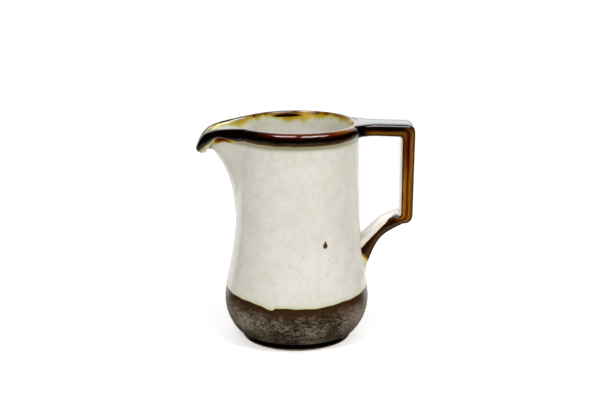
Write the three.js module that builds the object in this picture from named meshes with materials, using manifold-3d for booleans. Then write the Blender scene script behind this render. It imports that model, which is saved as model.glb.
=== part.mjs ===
// Stoneware creamer: a slip-cast jug with a pulled beak spout, a strap handle luted to its rim and wall,
// and the glaze coats fired onto both. Millimetres, +Z up, spout towards -X, handle towards +X.
// The driving sizes are those of the finished, glazed object; the clay lies one coat under them.
import * as THREE from 'three';
import { mergeVertices } from 'three/addons/utils/BufferGeometryUtils.js';
import Module from 'manifold-3d';

const wasm = await Module();
wasm.setup();

// Jug body
const rimHeight = 105;
const neckRadius = 29;
const neckStart = 62;
const bellyRadius = 34.6;
const bellyHeight = 19.5;
const bellyArcRadius = 22.5;
const swellSkew = 0.8;
const wallThickness = 3.5;
const floorThickness = 5;
const footRadius = 26.2;
const footHeight = 4;
const footRingWidth = 4.2;
const footRecess = 2.5;

// Rim bead and the eased inner lip
const beadHeight = 5.6;
const beadProud = 2.2;
const lipDepth = 6;

// Spout, pulled out of the neck
const spoutStart = 60;
const throatPull = 13;
const throatPullPower = 1.75;
const lipPull = 5.5;
const lipPullPower = 14;
const throatDroop = 10;
const throatDroopPower = 2.4;
const lipDroop = 4.2;
const lipDroopPower = 26;
const spoutRimSpread = THREE.MathUtils.degToRad(20);
const spoutThroatSpread = THREE.MathUtils.degToRad(8);
const bellPower = 2.6;
const droopNarrowing = 3.6;

// Strap handle
const handleReach = 55.4;
const handleWidth = 15.5;
const handleEdgeRadius = 1.8;
const barThickness = 5.6;
const gripThickness = 6.3;
const gripBottom = 57;
const armThickness = 3.8;
const armUpperRoot = 46.9;
const armLowerRoot = 31.8;
const outerCornerRadius = 3;
const innerCornerRadius = 1.8;
const lowerCornerRadius = 4.5;
const rootSink = 1.6;

// Pull of the arm's two edge curves, as shares of the arm's run and fall
const armUnderLead = new THREE.Vector2(0.36, 0.76);
const armUnderSweep = new THREE.Vector2(0.36, 0.74);
const armOverLead = new THREE.Vector2(0.42, 0.7);
const armOverSweep = new THREE.Vector2(0.48, 0.55);

// Luting slip between handle and body
const slipThickness = 1.5;
const slipSpread = 1;

// Glaze coats
const coatThickness = 0.5;
const footBare = 1;
const glazeLine = 23.6;
const paleWrap = 0.6;

// Clearances: fired bond under a coat, seam between two coats, and a face cut to its neighbour
const bondGap = 0.05;
const seamGap = 0.2;
const cutGap = 0.3;

// Facets: columns round the jug, crowded towards the spout, and steps along each stretch of an outline
const segments = 40;
const spoutCrowding = 0.6;
const bellySteps = 4;
const swellSteps = 5;
const neckSteps = 6;
const beadSteps = 5;
const lipSteps = 3;
const linerNeckSteps = 5;
const linerSwellSteps = 4;
const linerBellySteps = 2;
const curveSteps = 5;
const edgeSteps = 2;

const { Vector2, Vector3 } = THREE;

// Outer radius of the wall at height z: an arc under the belly, a skewed cosine swell, then a straight neck
function wallRadius(z) {
  if (z < bellyHeight) {
    return bellyRadius - bellyArcRadius + Math.sqrt(bellyArcRadius ** 2 - (bellyHeight - z) ** 2);
  }
  const rise = Math.min((z - bellyHeight) / (neckStart - bellyHeight), 1);
  return neckRadius + (bellyRadius - neckRadius) * (1 + Math.cos(Math.PI * rise ** swellSkew)) / 2;
}

function innerRadius(z) {
  if (z < bellyHeight) {
    const innerArc = bellyArcRadius - wallThickness;
    return bellyRadius - bellyArcRadius + Math.sqrt(innerArc ** 2 - (bellyHeight - z) ** 2);
  }
  return wallRadius(z) - wallThickness;
}

// Heights from one level to another, both included
function levels(from, to, steps) {
  return Array.from({ length: steps + 1 }, (_, i) => THREE.MathUtils.lerp(from, to, i / steps));
}

function ellipseArc(centreRadius, centreHeight, across, up, fromDegrees, toDegrees, steps) {
  return levels(fromDegrees, toDegrees, steps).map((degrees) => {
    const angle = THREE.MathUtils.degToRad(degrees);
    return new Vector2(centreRadius + across * Math.cos(angle), centreHeight + up * Math.sin(angle));
  });
}

// The finished skin as four stretches, from the foot up the outside, over the rim and down to the floor
const beadBottom = rimHeight - beadHeight;
const lipBottom = rimHeight - lipDepth;
const floorTop = footRecess + floorThickness;
const onWall = (z) => new Vector2(wallRadius(z), z);
const onLiner = (z) => new Vector2(innerRadius(z), z);
const baseStretch = [
  new Vector2(footRadius, footBare),
  new Vector2(footRadius, footHeight),
  ...levels(footHeight, bellyHeight, bellySteps).map(onWall),
  onWall(glazeLine),
];
const wallStretch = [
  ...levels(glazeLine, neckStart, swellSteps).map(onWall),
  ...levels(neckStart, beadBottom, neckSteps).slice(1).map(onWall),
];
const rimStretch = [
  ...ellipseArc(neckRadius, rimHeight - beadHeight / 2, beadProud, beadHeight / 2, -90, 90, beadSteps),
  ...ellipseArc(neckRadius, lipBottom, wallThickness, lipDepth, 90, 180, lipSteps).slice(1),
];
const linerStretch = [
  ...levels(lipBottom, neckStart, linerNeckSteps).map(onLiner),
  ...levels(neckStart, bellyHeight, linerSwellSteps).slice(1).map(onLiner),
  ...levels(bellyHeight, floorTop, linerBellySteps).slice(1).map(onLiner),
  new Vector2(0, floorTop),
];
const stretches = { base: baseStretch, wall: wallStretch, rim: rimStretch, liner: linerStretch };
const skin = [];
const span = {};
for (const [name, points] of Object.entries(stretches)) {
  const first = Math.max(skin.length - 1, 0);
  skin.push(...(skin.length ? points.slice(1) : points));
  span[name] = { first, last: skin.length - 1 };
}

// The skin moved out of the clay by a distance, with mitred corners
function offsetSkin(distance) {
  const normals = skin.slice(1).map((point, i) => {
    const along = point.clone().sub(skin[i]).normalize();
    return new Vector2(along.y, -along.x);
  });
  return skin.map((point, i) => {
    const before = normals[Math.max(i - 1, 0)];
    const after = normals[Math.min(i, normals.length - 1)];
    const mitre = before.clone().add(after);
    mitre.multiplyScalar(2 / mitre.lengthSq());
    return point.clone().addScaledVector(mitre, distance);
  });
}

// A point of the outer neck after the spout is pulled: angle 0 is the spout's middle
function pulledNeck(angle, z) {
  const lift = Math.max((z - spoutStart) / (rimHeight - spoutStart), 0);
  const spread = THREE.MathUtils.lerp(spoutThroatSpread, spoutRimSpread, Math.min(lift, 1));
  const bell = Math.exp(-((Math.abs(angle) / spread) ** bellPower));
  const pull = throatPull * lift ** throatPullPower + lipPull * lift ** lipPullPower;
  const droop = throatDroop * lift ** throatDroopPower + lipDroop * lift ** lipDroopPower;
  return new Vector3(
    -neckRadius * Math.cos(angle) - pull * bell,
    -neckRadius * Math.sin(angle),
    z - droop * bell ** droopNarrowing,
  );
}

// Any point of the jug's wall, carried along the pulled neck's normal so that no layer changes thickness
function bend(radius, angle, z) {
  if (z <= spoutStart) {
    return new Vector3(-radius * Math.cos(angle), -radius * Math.sin(angle), z);
  }
  const probe = 1e-3;
  const around = pulledNeck(angle + probe, z).sub(pulledNeck(angle - probe, z));
  const upward = pulledNeck(angle, z + probe).sub(pulledNeck(angle, z - probe));
  const normal = around.cross(upward).normalize();
  return pulledNeck(angle, z).addScaledVector(normal, radius - neckRadius);
}

// Keeps positions alone, with shared vertices and no collapsed triangles
function weld(source) {
  const bare = source.clone();
  bare.deleteAttribute('normal');
  bare.deleteAttribute('uv');
  const merged = mergeVertices(bare, 1e-4);
  const kept = [];
  for (let i = 0; i < merged.index.count; i += 3) {
    const [a, b, c] = [0, 1, 2].map((k) => merged.index.getX(i + k));
    if (a !== b && b !== c && c !== a) kept.push(a, b, c);
  }
  merged.setIndex(kept);
  return merged;
}

// Each quad of a revolved grid is split along its shorter diagonal, so that layers on each other fold alike
function facets(position, rowLength) {
  const at = (i) => new Vector3().fromBufferAttribute(position, i);
  const index = [];
  for (let column = 0; column < segments; column += 1) {
    for (let row = 0; row < rowLength - 1; row += 1) {
      const a = column * rowLength + row;
      const b = a + rowLength;
      const c = b + 1;
      const d = a + 1;
      const splitAC = at(a).distanceTo(at(c)) < at(b).distanceTo(at(d));
      index.push(...(splitAC ? [a, b, c, a, c, d] : [a, b, d, b, c, d]));
    }
  }
  return index;
}

// Revolves a closed profile about the jug's axis, with facets crowded towards the spout, and pulls the spout
function revolve(profile) {
  const geometry = new THREE.LatheGeometry(profile, segments);
  const position = geometry.attributes.position;
  for (let i = 0; i < position.count; i += 1) {
    const turn = Math.atan2(position.getX(i), position.getZ(i));
    const radius = Math.hypot(position.getX(i), position.getZ(i));
    const angle = turn - spoutCrowding * Math.sin(turn);
    const placed = bend(radius, angle, position.getY(i));
    position.setXYZ(i, placed.x, placed.y, placed.z);
  }
  geometry.setIndex(facets(position, profile.length));
  return weld(geometry);
}

// A shell along part of the skin, between two distances from it
function shell(first, last, inside, outside, setBack) {
  const trim = (points) => {
    const run = points.slice(first, last + 1);
    const nudge = (end, next) => end.clone().add(next.clone().sub(end).setLength(setBack));
    const start = first > 0 ? nudge(run[0], run[1]) : run[0];
    const finish = last < skin.length - 1 ? nudge(run.at(-1), run.at(-2)) : run.at(-1);
    return [start, ...run.slice(1, -1), finish];
  };
  const outer = trim(offsetSkin(outside));
  const inner = trim(offsetSkin(inside));
  return revolve([...outer, ...inner.reverse(), outer[0]]);
}

const coat = (name) => shell(span[name].first, span[name].last, bondGap - coatThickness, 0, seamGap / 2);

// Boolean cuts and joins between closed geometries
function toSolid(geometry) {
  const welded = weld(geometry);
  const vertProperties = new Float32Array(welded.attributes.position.array);
  const triVerts = new Uint32Array(welded.index.array);
  return new wasm.Manifold(new wasm.Mesh({ numProp: 3, vertProperties, triVerts }));
}

function toGeometry(solid) {
  const { vertProperties, triVerts } = solid.getMesh();
  const geometry = new THREE.BufferGeometry();
  geometry.setAttribute('position', new THREE.BufferAttribute(vertProperties, 3));
  geometry.setIndex(new THREE.BufferAttribute(triVerts, 1));
  return geometry;
}

// A side outline in X and Z, made a slab of a given width across Y and grown all round by a margin
function slab(outline, width, edgeRadius, margin) {
  const depth = width - 2 * edgeRadius;
  const geometry = new THREE.ExtrudeGeometry(outline, {
    depth,
    curveSegments: curveSteps,
    bevelEnabled: true,
    bevelSegments: edgeSteps,
    bevelThickness: edgeRadius + margin,
    bevelSize: edgeRadius + margin,
    bevelOffset: -edgeRadius,
  });
  geometry.rotateX(Math.PI / 2);
  geometry.translate(0, depth / 2, 0);
  return toSolid(geometry);
}

// Handle: a level bar off the rim, an upright grip, and an arm that sweeps back and down to the wall
const gripInside = handleReach - gripThickness;
const barBottom = rimHeight - barThickness;
const barRoot = neckRadius + beadProud - rootSink;
const armTop = gripBottom + armThickness;
const upperRoot = new Vector2(wallRadius(armUpperRoot) - rootSink, armUpperRoot);
const lowerRoot = new Vector2(wallRadius(armLowerRoot) - rootSink, armLowerRoot);

// The arm's edges leave the grip on a slant and ease into the wall
function easeBetween(path, root, grip, nearRoot, nearGrip, toRoot) {
  const run = grip.clone().sub(root);
  const rootHandle = nearRoot.clone().multiply(run).add(root);
  const gripHandle = nearGrip.clone().multiply(run).add(root);
  const order = toRoot ? [gripHandle, rootHandle, root] : [rootHandle, gripHandle, grip];
  path.bezierCurveTo(...order.flatMap((point) => [point.x, point.y]));
}

// The edge round the opening, from the lower root up and back along the bar
function traceOpening(path) {
  const armEnd = new Vector2(gripInside - innerCornerRadius, armTop);
  easeBetween(path, upperRoot, armEnd, armOverSweep, armOverLead, false);
  path.quadraticCurveTo(gripInside, armTop, gripInside, armTop + innerCornerRadius);
  path.lineTo(gripInside, barBottom - innerCornerRadius);
  path.quadraticCurveTo(gripInside, barBottom, gripInside - innerCornerRadius, barBottom);
  path.lineTo(barRoot, barBottom);
}

const handleOutline = new THREE.Shape();
handleOutline.moveTo(barRoot, rimHeight);
handleOutline.lineTo(handleReach - outerCornerRadius, rimHeight);
handleOutline.quadraticCurveTo(handleReach, rimHeight, handleReach, rimHeight - outerCornerRadius);
handleOutline.lineTo(handleReach, gripBottom + lowerCornerRadius);
handleOutline.quadraticCurveTo(handleReach, gripBottom, handleReach - lowerCornerRadius, gripBottom);
const armStart = new Vector2(handleReach - lowerCornerRadius, gripBottom);
easeBetween(handleOutline, lowerRoot, armStart, armUnderSweep, armUnderLead, true);
handleOutline.lineTo(upperRoot.x, upperRoot.y);
traceOpening(handleOutline);
handleOutline.closePath();

// The opening between handle and wall, which the pale glaze lines
const openingOutline = new THREE.Shape();
openingOutline.moveTo(upperRoot.x, upperRoot.y);
traceOpening(openingOutline);
openingOutline.closePath();

const handleSlab = (margin) => slab(handleOutline, handleWidth, handleEdgeRadius, margin);
const openingSlab = (margin) => slab(openingOutline, handleWidth * 2, 0, margin);

// A shell over the outer wall and bead, used to fit the handle and its slip against the jug
const crest = span.rim.first + beadSteps;
const jacket = (inside, outside) => toSolid(shell(span.wall.first, crest, inside, outside, 0));

// All the space above a level
function above(level) {
  const beyond = 2 * (handleReach + rimHeight);
  const geometry = new THREE.BoxGeometry(beyond, beyond, beyond);
  geometry.translate(0, 0, level + beyond / 2);
  return toSolid(geometry);
}

// Slip collars lie on the clay, stand out round the handle's ends and stay level with the rim
const betweenRoots = (armUpperRoot + barBottom) / 2;
const collars = handleSlab(slipSpread)
  .intersect(jacket(cutGap - coatThickness, slipThickness))
  .subtract(above(rimHeight));
const upperCollar = collars.intersect(above(betweenRoots));
const lowerCollar = collars.subtract(above(betweenRoots));

// Clay handle and its coats stop short of the collars
const standOff = jacket(-wallThickness, slipThickness + cutGap);
const clayHandle = handleSlab(-coatThickness).subtract(standOff);
const handleCoat = handleSlab(0).subtract(handleSlab(bondGap - coatThickness)).subtract(standOff);
const brownHandle = handleCoat.subtract(openingSlab(paleWrap + seamGap));
const paleHandle = handleCoat.intersect(openingSlab(paleWrap));

// The body's coats are parted where the handle is luted to the clay
const luted = handleSlab(slipSpread + cutGap);
const paleWall = toSolid(coat('wall')).subtract(luted);
const brownRim = toSolid(coat('rim')).subtract(luted);

// Clay body: foot ring and recess below, then the skin one coat down
const clayFoot = footRadius - coatThickness;
const clayBody = revolve([
  new Vector2(0, footRecess),
  new Vector2(clayFoot - footRingWidth, footRecess),
  new Vector2(clayFoot - footRingWidth, 0),
  new Vector2(clayFoot, 0),
  ...offsetSkin(-coatThickness),
]);

// Fired finishes
const biscuit = { color: 0xb9a68c, roughness: 0.85, metalness: 0 };
const paleGlaze = { color: 0xe1ddd4, roughness: 0.18, metalness: 0 };
const brownGlaze = { color: 0x4a2410, roughness: 0.15, metalness: 0 };
const dryBrownGlaze = { color: 0x3f3229, roughness: 0.5, metalness: 0 };

const creamer = new THREE.Group();
function add(name, geometry, finish) {
  const mesh = new THREE.Mesh(geometry, new THREE.MeshStandardMaterial(finish));
  mesh.name = name;
  creamer.add(mesh);
}

add('stoneware_body', clayBody, biscuit);
add('stoneware_handle', toGeometry(clayHandle), biscuit);
add('upper_slip_joint', toGeometry(upperCollar), biscuit);
add('lower_slip_joint', toGeometry(lowerCollar), biscuit);
add('pale_wall_glaze', toGeometry(paleWall), paleGlaze);
add('pale_liner_glaze', coat('liner'), paleGlaze);
add('brown_rim_glaze', toGeometry(brownRim), brownGlaze);
add('brown_base_glaze', coat('base'), dryBrownGlaze);
add('brown_handle_glaze', toGeometry(brownHandle), brownGlaze);
add('pale_handle_glaze', toGeometry(paleHandle), paleGlaze);

// The origin is on the table, under the middle of the jug from spout tip to handle
const box = new THREE.Box3().setFromObject(creamer, true);
creamer.position.x = -(box.min.x + box.max.x) / 2;

export default creamer;
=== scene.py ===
"""Looks of a glazed stoneware creamer, modelled round its packed solids.

A slip-cast jug on a foot ring, with a beaded rim pulled into a beak spout and a squared strap handle. An
oatmeal glaze covers the wall and the inside, an iron-brown glaze the rim and the strap, and a dry brown glaze
the base.
"""
import math
from itertools import accumulate

import bpy
from bpy.props import FloatProperty, FloatVectorProperty, IntProperty, PointerProperty
from bpy.types import Operator, Panel, PropertyGroup
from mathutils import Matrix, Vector
from mathutils.kdtree import KDTree


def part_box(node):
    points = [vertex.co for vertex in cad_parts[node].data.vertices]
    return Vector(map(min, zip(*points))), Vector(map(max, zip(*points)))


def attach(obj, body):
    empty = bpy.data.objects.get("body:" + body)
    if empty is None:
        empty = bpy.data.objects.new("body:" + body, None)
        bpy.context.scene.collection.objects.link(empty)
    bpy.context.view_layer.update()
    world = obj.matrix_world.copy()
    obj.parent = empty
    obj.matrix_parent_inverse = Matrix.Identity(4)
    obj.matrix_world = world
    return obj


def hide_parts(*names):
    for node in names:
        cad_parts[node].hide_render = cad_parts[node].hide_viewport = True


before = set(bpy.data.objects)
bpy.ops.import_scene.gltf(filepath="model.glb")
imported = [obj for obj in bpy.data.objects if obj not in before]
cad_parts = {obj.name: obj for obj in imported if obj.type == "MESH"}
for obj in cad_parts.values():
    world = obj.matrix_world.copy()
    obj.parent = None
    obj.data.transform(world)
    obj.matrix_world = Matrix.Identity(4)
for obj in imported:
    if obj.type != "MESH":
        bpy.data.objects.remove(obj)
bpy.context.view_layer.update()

bl_info = {
    "name": "Stoneware creamer",
    "version": (1, 0, 0),
    "blender": (4, 5, 0),
    "location": "View3D > Sidebar > Creamer",
    "description": "Models a glazed stoneware creamer and its studio, piece by piece",
    "category": "Add Mesh",
}

MM = 0.001
BODY = "root"

# What the packed solids already settle
base_low, base_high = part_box("brown_base_glaze")
rim_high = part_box("brown_rim_glaze")[1]
strap_low, strap_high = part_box("brown_handle_glaze")
axis_x = (base_low.x + base_high.x) / 2

# Sockets of a Mix node that mixes colours
MIX_FACTOR, MIX_A, MIX_B, MIX_RESULT = 0, 6, 7, 2


def linear(code):
    """Linear colour of an sRGB hex code."""
    channels = [int(code[i:i + 2], 16) / 255 for i in (0, 2, 4)]
    return tuple(c / 12.92 if c <= 0.04045 else ((c + 0.055) / 1.055) ** 2.4 for c in channels)


def length(name, default, description):
    """A length in the sidebar, given in millimetres."""
    return FloatProperty(name=name, description=description, default=default * MM, unit="LENGTH", precision=5)


def share(name, default, description):
    """A plain factor in the sidebar."""
    return FloatProperty(name=name, description=description, default=default, subtype="FACTOR")


def number(name, default, description):
    """A number without a unit in the sidebar."""
    return FloatProperty(name=name, description=description, default=default)


def turn(name, degrees, description):
    """An angle in the sidebar, given in degrees."""
    return FloatProperty(name=name, description=description, default=math.radians(degrees), subtype="ANGLE")


def colour(name, code, description):
    """A colour in the sidebar, given as an sRGB hex code."""
    return FloatVectorProperty(
        name=name, description=description, default=linear(code), subtype="COLOR", min=0, max=1
    )


class JugSizes(PropertyGroup):
    """Finished sizes of the jug, glaze included."""

    rim_height: length("Rim height", rim_high.z / MM, "Height of the rim's crest above the table")
    neck_radius: length("Neck radius", 29, "Outside radius of the straight neck")
    neck_start: length("Neck start", 62, "Height at which the swell has become the neck")
    belly_radius: length("Belly radius", (base_high.x - base_low.x) / 2 / MM, "Largest outside radius")
    belly_height: length("Belly height", 19.5, "Height of the largest radius")
    belly_arc: length("Belly arc", 22.5, "Radius of the arc that turns the belly in to the foot")
    swell_skew: share("Swell skew", 0.8, "How early the belly draws in towards the neck")
    wall: length("Wall", 3.5, "Thickness of the glazed wall")
    floor: length("Floor", 5, "Thickness of the glazed floor")
    foot_radius: length("Foot radius", 26.2, "Outside radius of the foot ring")
    foot_height: length("Foot height", 4, "Height of the foot ring under the belly's ledge")
    foot_ring: length("Foot ring", 4.2, "Width of the ring that the jug stands on")
    foot_recess: length("Foot recess", 2.5, "Depth of the hollow inside the foot ring")
    foot_bare: length("Bare foot", base_low.z / MM, "Height wiped clean of glaze at the foot")
    bead_height: length("Bead height", 6.15, "Height of the bead round the rim")
    bead_proud: length("Bead proud", 2.2, "How far the bead stands out of the neck")
    crest_inset: length("Crest inset", 1.2, "How far inside the neck's outline the crest of the rim lies")
    lip_depth: length("Lip depth", 6, "Height of the eased edge inside the rim")
    coat: length("Glaze coat", 0.5, "Thickness of a glaze coat")
    bond: length("Bond", 0.05, "Clearance of a coat from the clay, so that no faces share a place")
    glaze_line: length("Glaze line", base_high.z / MM, "Lowest height of the pale glaze's lower edge")
    line_rise: length("Glaze line rise", 2.3, "How much higher that edge lies at the spout and at the handle")
    line_roll: length("Glaze roll", 0.14, "How far that edge stands proud, where the glaze has gathered")
    rim_seam: length("Rim seam", 12, "Depth inside the rim at which the liner takes over")
    columns: IntProperty(name="Columns", description="Faces round the jug", default=300, min=24)
    clay_columns: IntProperty(name="Clay columns", description="Faces round the clay", default=144, min=24)


class SpoutSizes(PropertyGroup):
    """How the spout is pulled out of the neck."""

    start: length("Start", 60, "Height at which the throat begins to leave the neck")
    step: length("Step", 0.5, "How far the throat stands out where it begins")
    throat_pull: length("Throat pull", 16.2, "How far the throat is drawn out at the rim")
    throat_pull_power: number("Throat pull power", 2.3, "How late it is drawn")
    throat_droop: length("Throat droop", 6, "How far the throat is pressed down at the rim")
    throat_droop_power: number("Throat droop power", 1.6, "How late it droops")
    lip_start: length("Lip start", 94.5, "Height at which the throat turns out into the lip")
    lip_pull: length("Lip pull", 1.7, "How much further the lip is drawn")
    lip_droop: length("Lip droop", 5.1, "How much further the lip is pressed down")
    rim_spread: turn("Rim spread", 41, "Half width of the spout at the rim, round the neck")
    throat_spread: turn("Throat spread", 7, "Half width of the spout where it starts")
    fan_power: number("Fan power", 0.72, "How late the spout widens")
    throat_crease: number("Throat crease", 1.15, "How softly its flanks meet the neck below")
    rim_crease: number("Rim crease", 2.2, "How softly its flanks meet the neck at the rim")
    curl: share("Curl", 0.67, "Share of the droop that is left to the very tip")
    curl_power: number("Curl power", 7, "How close to the tip the lip curls down")
    pinch: share("Pinch", 0.42, "How much lower the bead is where fingers pinched the spout, beside its tip")
    crowding: share("Crowding", 0.5, "How much the faces crowd towards the spout")


class StrapSizes(PropertyGroup):
    """Sizes of the strap handle, measured from the jug's axis."""

    top: length("Top", strap_high.z / MM, "Height of the bar's upper face")
    reach: length("Reach", (strap_high.x - axis_x) / MM, "Distance of the outer face")
    width: length("Width", (strap_high.y - strap_low.y) / MM, "Width across the strap")
    edge: length("Edge", 1.9, "Radius of the strap's long edges")
    bar: length("Bar", 5.6, "Thickness of the level bar")
    sag: length("Sag", 0.45, "How much lower the bar's far end lies, from its own weight in the kiln")
    grip: length("Grip", 6.3, "Thickness of the upright grip")
    grip_bottom: length("Grip bottom", 57, "Height at which the outer face turns into the arm")
    arm: length("Arm", 3.8, "Height of the inner corner above the outer one")
    upper_root: length("Upper root", 46.9, "Height at which the arm's upper face meets the wall")
    lower_root: length("Lower root", 31, "Height at which the arm's lower face meets the wall")
    lean: length("Lean", 0.45, "How much nearer to the wall the outer face ends")
    outer_corner: length("Outer corner", 4.2, "Reach of the corner between bar and grip")
    lower_corner: length("Lower corner", 4.5, "Reach of the corner between grip and arm")
    inner_corner: length("Inner corner", 1.8, "Reach of the two corners inside the opening")
    sink: length("Sink", 1.6, "How far the roots go into the wall")
    flare: length("Flare", 6, "How much wider each side of the bar gets at the rim")
    flare_run: length("Flare run", 10, "Distance from the rim over which the bar widens")
    root_flare: length("Root flare", 0.6, "How much wider each side of the arm gets at the wall")
    root_run: length("Root run", 5, "Distance from the wall over which the arm widens")
    swell: length("Swell", 1.3, "How far the wall stands out round the arm's root")
    crown: length("Crown", 0.25, "How much the strap's faces swell in the middle")


class GlazeColours(PropertyGroup):
    """Colours of the fired glazes and the clay."""

    pale: colour("Pale", "E3DFD6", "Oatmeal glaze at full thickness")
    pale_warm: colour("Pale warm", "D6CFC0", "Oatmeal glaze where it is thin and warmer")
    speckle: colour("Speckle", "B3A994", "Iron specks in the oatmeal glaze")
    celadon: colour("Celadon", "C9D2B4", "Greenish tint where pale and brown glaze run together")
    yellow: colour("Yellow", "DBBE58", "Thin brown glaze over pale")
    amber: colour("Amber", "A2700A", "Brown glaze where it breaks")
    golden: colour("Golden", "8A5A16", "Brown glaze, half thick")
    russet: colour("Russet", "5E1602", "Brown glaze on an edge")
    tenmoku: colour("Tenmoku", "200601", "Brown glaze at full thickness")
    # Also painted on the foot as the shade under the ledge
    pooled_and_shade: colour("Pooled", "060201", "Brown glaze where it pools")
    olive: colour("Olive", "4A3A10", "Line where the pale glaze ends on the brown")
    base: colour("Base", "2A1B07", "Dry brown glaze of the base")
    base_rich: colour("Base rich", "3A2002", "Dry brown glaze just under the pale edge")
    # Also painted as sheen at the base's two sides
    base_bloom_and_sheen: colour("Base bloom", "A29480", "Silvery bloom on the dry brown glaze")
    clay: colour("Clay", "B9A68C", "Unglazed stoneware")
    clay_grit: colour("Clay grit", "8C7558", "Grit in the unglazed stoneware")


class StudioSettings(PropertyGroup):
    """The plain studio in which the creamer stands."""

    camera_distance: length("Camera distance", 606.96, "From the jug's axis to the camera, along Y")
    camera_side: length("Camera side", 1.668, "How far the camera stands towards the handle")
    camera_height: length("Camera height", 227.055, "Height of the camera above the floor")
    camera_dip: turn("Camera dip", 14.78, "How far the camera looks down")
    camera_lens: number("Camera lens", 78.98, "Focal length in mm")
    floor_size: length("Floor size", 12000, "Side of the square floor")
    floor_colour: colour("Floor", "F4F4F2", "Colour of the floor")
    hood_colour: colour("Hood", "0A0A0A", "Colour of the dark hood that the glazes reflect")
    hood_radius: length("Hood radius", 2400, "Distance of the dark hood")
    window_side: turn("Window side", 50, "Half width of the window in the hood's back")
    window_top: turn("Window top", 40, "Height of that window above the floor")
    sheet_side: turn("Sheet side", 62, "Half width of the floor at the back that the hood leaves bare")
    floor_lift: share("Floor lift", 0.42, "How much whiter than lit the floor is in the picture")
    ambient: number("Ambient", 0.33, "Strength of the light from all round")


def ramp(start, stop, steps):
    """Evenly spaced values from start to stop, both included."""
    return [start + (stop - start) * i / steps for i in range(steps + 1)]


def smooth(value, start, stop):
    """0 before start, 1 after stop, and an eased step between them."""
    t = min(max((value - start) / (stop - start), 0), 1)
    return t * t * (3 - 2 * t)


def line(start, end, steps):
    """Points of a straight line."""
    return [start.lerp(end, t) for t in ramp(0, 1, steps)]


def ease(start, corner, end, steps):
    """Points of a curve from start to end that leans on a corner."""
    return [start.lerp(corner, t).lerp(corner.lerp(end, t), t) for t in ramp(0, 1, steps)]


def sweep(start, lead, arrive, end, steps):
    """Points of a curve from start to end that leaves towards lead and comes in from arrive."""
    points = zip(ease(start, lead, arrive, steps), ease(lead, arrive, end, steps))
    return [near.lerp(far, i / steps) for i, (near, far) in enumerate(points)]


def ellipse_arc(centre, across, up, start, stop, steps):
    """Points of an ellipse in the profile plane, between two angles in degrees."""
    turns = [math.radians(a) for a in ramp(start, stop, steps)]
    return [centre + Vector((across * math.cos(a), up * math.sin(a))) for a in turns]


# The jug's skin, as profiles of radius and height


def wall_radius(jug, z):
    """Outside radius at a height: an arc under the belly, a skewed swell, then the straight neck."""
    if z < jug.belly_height:
        return jug.belly_radius - jug.belly_arc + math.sqrt(jug.belly_arc ** 2 - (jug.belly_height - z) ** 2)
    rise = min((z - jug.belly_height) / (jug.neck_start - jug.belly_height), 1)
    swell = (1 + math.cos(math.pi * rise ** jug.swell_skew)) / 2
    return jug.neck_radius + (jug.belly_radius - jug.neck_radius) * swell


def liner_radius(jug, z):
    """Inside radius at a height, one wall in from the outside."""
    if z < jug.belly_height:
        inner_arc = jug.belly_arc - jug.wall
        return jug.belly_radius - jug.belly_arc + math.sqrt(inner_arc ** 2 - (jug.belly_height - z) ** 2)
    return wall_radius(jug, z) - jug.wall


def base_profile(jug):
    """From the wiped foot, round the ledge and up the belly to just under the pale glaze."""
    ledge = wall_radius(jug, jug.foot_height)
    soft = 0.9 * MM
    tuck = jug.glaze_line + 1.2 * MM
    foot = Vector((jug.foot_radius, jug.foot_height))
    edge = Vector((ledge, jug.foot_height))
    belly = [Vector((wall_radius(jug, z), z)) for z in ramp(jug.foot_height + soft, tuck, 22)]
    return [
        Vector((jug.foot_radius, jug.foot_bare)),
        *ease(foot - Vector((0, soft)), foot, foot + Vector((soft, 0)), 4),
        *ease(edge - Vector((soft, 0)), edge, belly[0], 5),
        *belly[1:],
    ]


# How far up the pale glaze's rolled edge reaches
ROLL = 3 * MM


def wall_profile(jug, spout):
    """From the pale glaze's rolled edge up to the fillet under the bead."""
    bead_bottom = jug.rim_height - jug.bead_height
    fillet = 0.8 * MM
    collar = bead_bottom - 6 * MM
    edge = [Vector((wall_radius(jug, jug.glaze_line + d) + gather(jug, d), jug.glaze_line + d))
            for d in (ROLL * t * t for t in ramp(0, 1, 12))]
    heights = ramp(jug.glaze_line + ROLL, spout.start, 24)[1:]
    heights += ramp(spout.start, collar, 26)[1:]
    heights += ramp(collar, bead_bottom - fillet, 12)[1:-1]
    corner = Vector((jug.neck_radius, bead_bottom))
    return [
        *edge,
        *[Vector((wall_radius(jug, z), z)) for z in heights],
        *ease(corner - Vector((0, fillet)), corner, rim_profile(jug)[0], 5),
    ]


def gather(jug, height):
    """How far the pale glaze stands proud at a height above its lower edge.

    It is round below, then thick, then even.
    """
    round_under = 0.4 * MM
    thickest = 0.7 * MM
    thick = math.exp(-(((height - thickest) / MM) ** 2))
    return jug.line_roll * thick - jug.coat * (1 - smooth(height, -round_under, round_under))


def rim_profile(jug):
    """Round the bead, over the crest and down the eased lip to the liner."""
    bead_centre = Vector((jug.neck_radius, jug.rim_height - jug.bead_height / 2))
    crest_centre = bead_centre - Vector((jug.crest_inset, 0))
    lip_centre = Vector((crest_centre.x, jug.rim_height - jug.lip_depth))
    seam = jug.rim_height - jug.rim_seam
    inside = jug.neck_radius - jug.wall
    return [
        *ellipse_arc(bead_centre, jug.bead_proud, jug.bead_height / 2, -68, 0, 9),
        *ellipse_arc(crest_centre, jug.bead_proud + jug.crest_inset, jug.bead_height / 2, 0, 90, 13)[1:],
        *ellipse_arc(lip_centre, jug.wall - jug.crest_inset, jug.lip_depth, 90, 180, 16)[1:],
        *[Vector((inside, z)) for z in ramp(lip_centre.y, seam, 8)[1:]],
    ]


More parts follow.
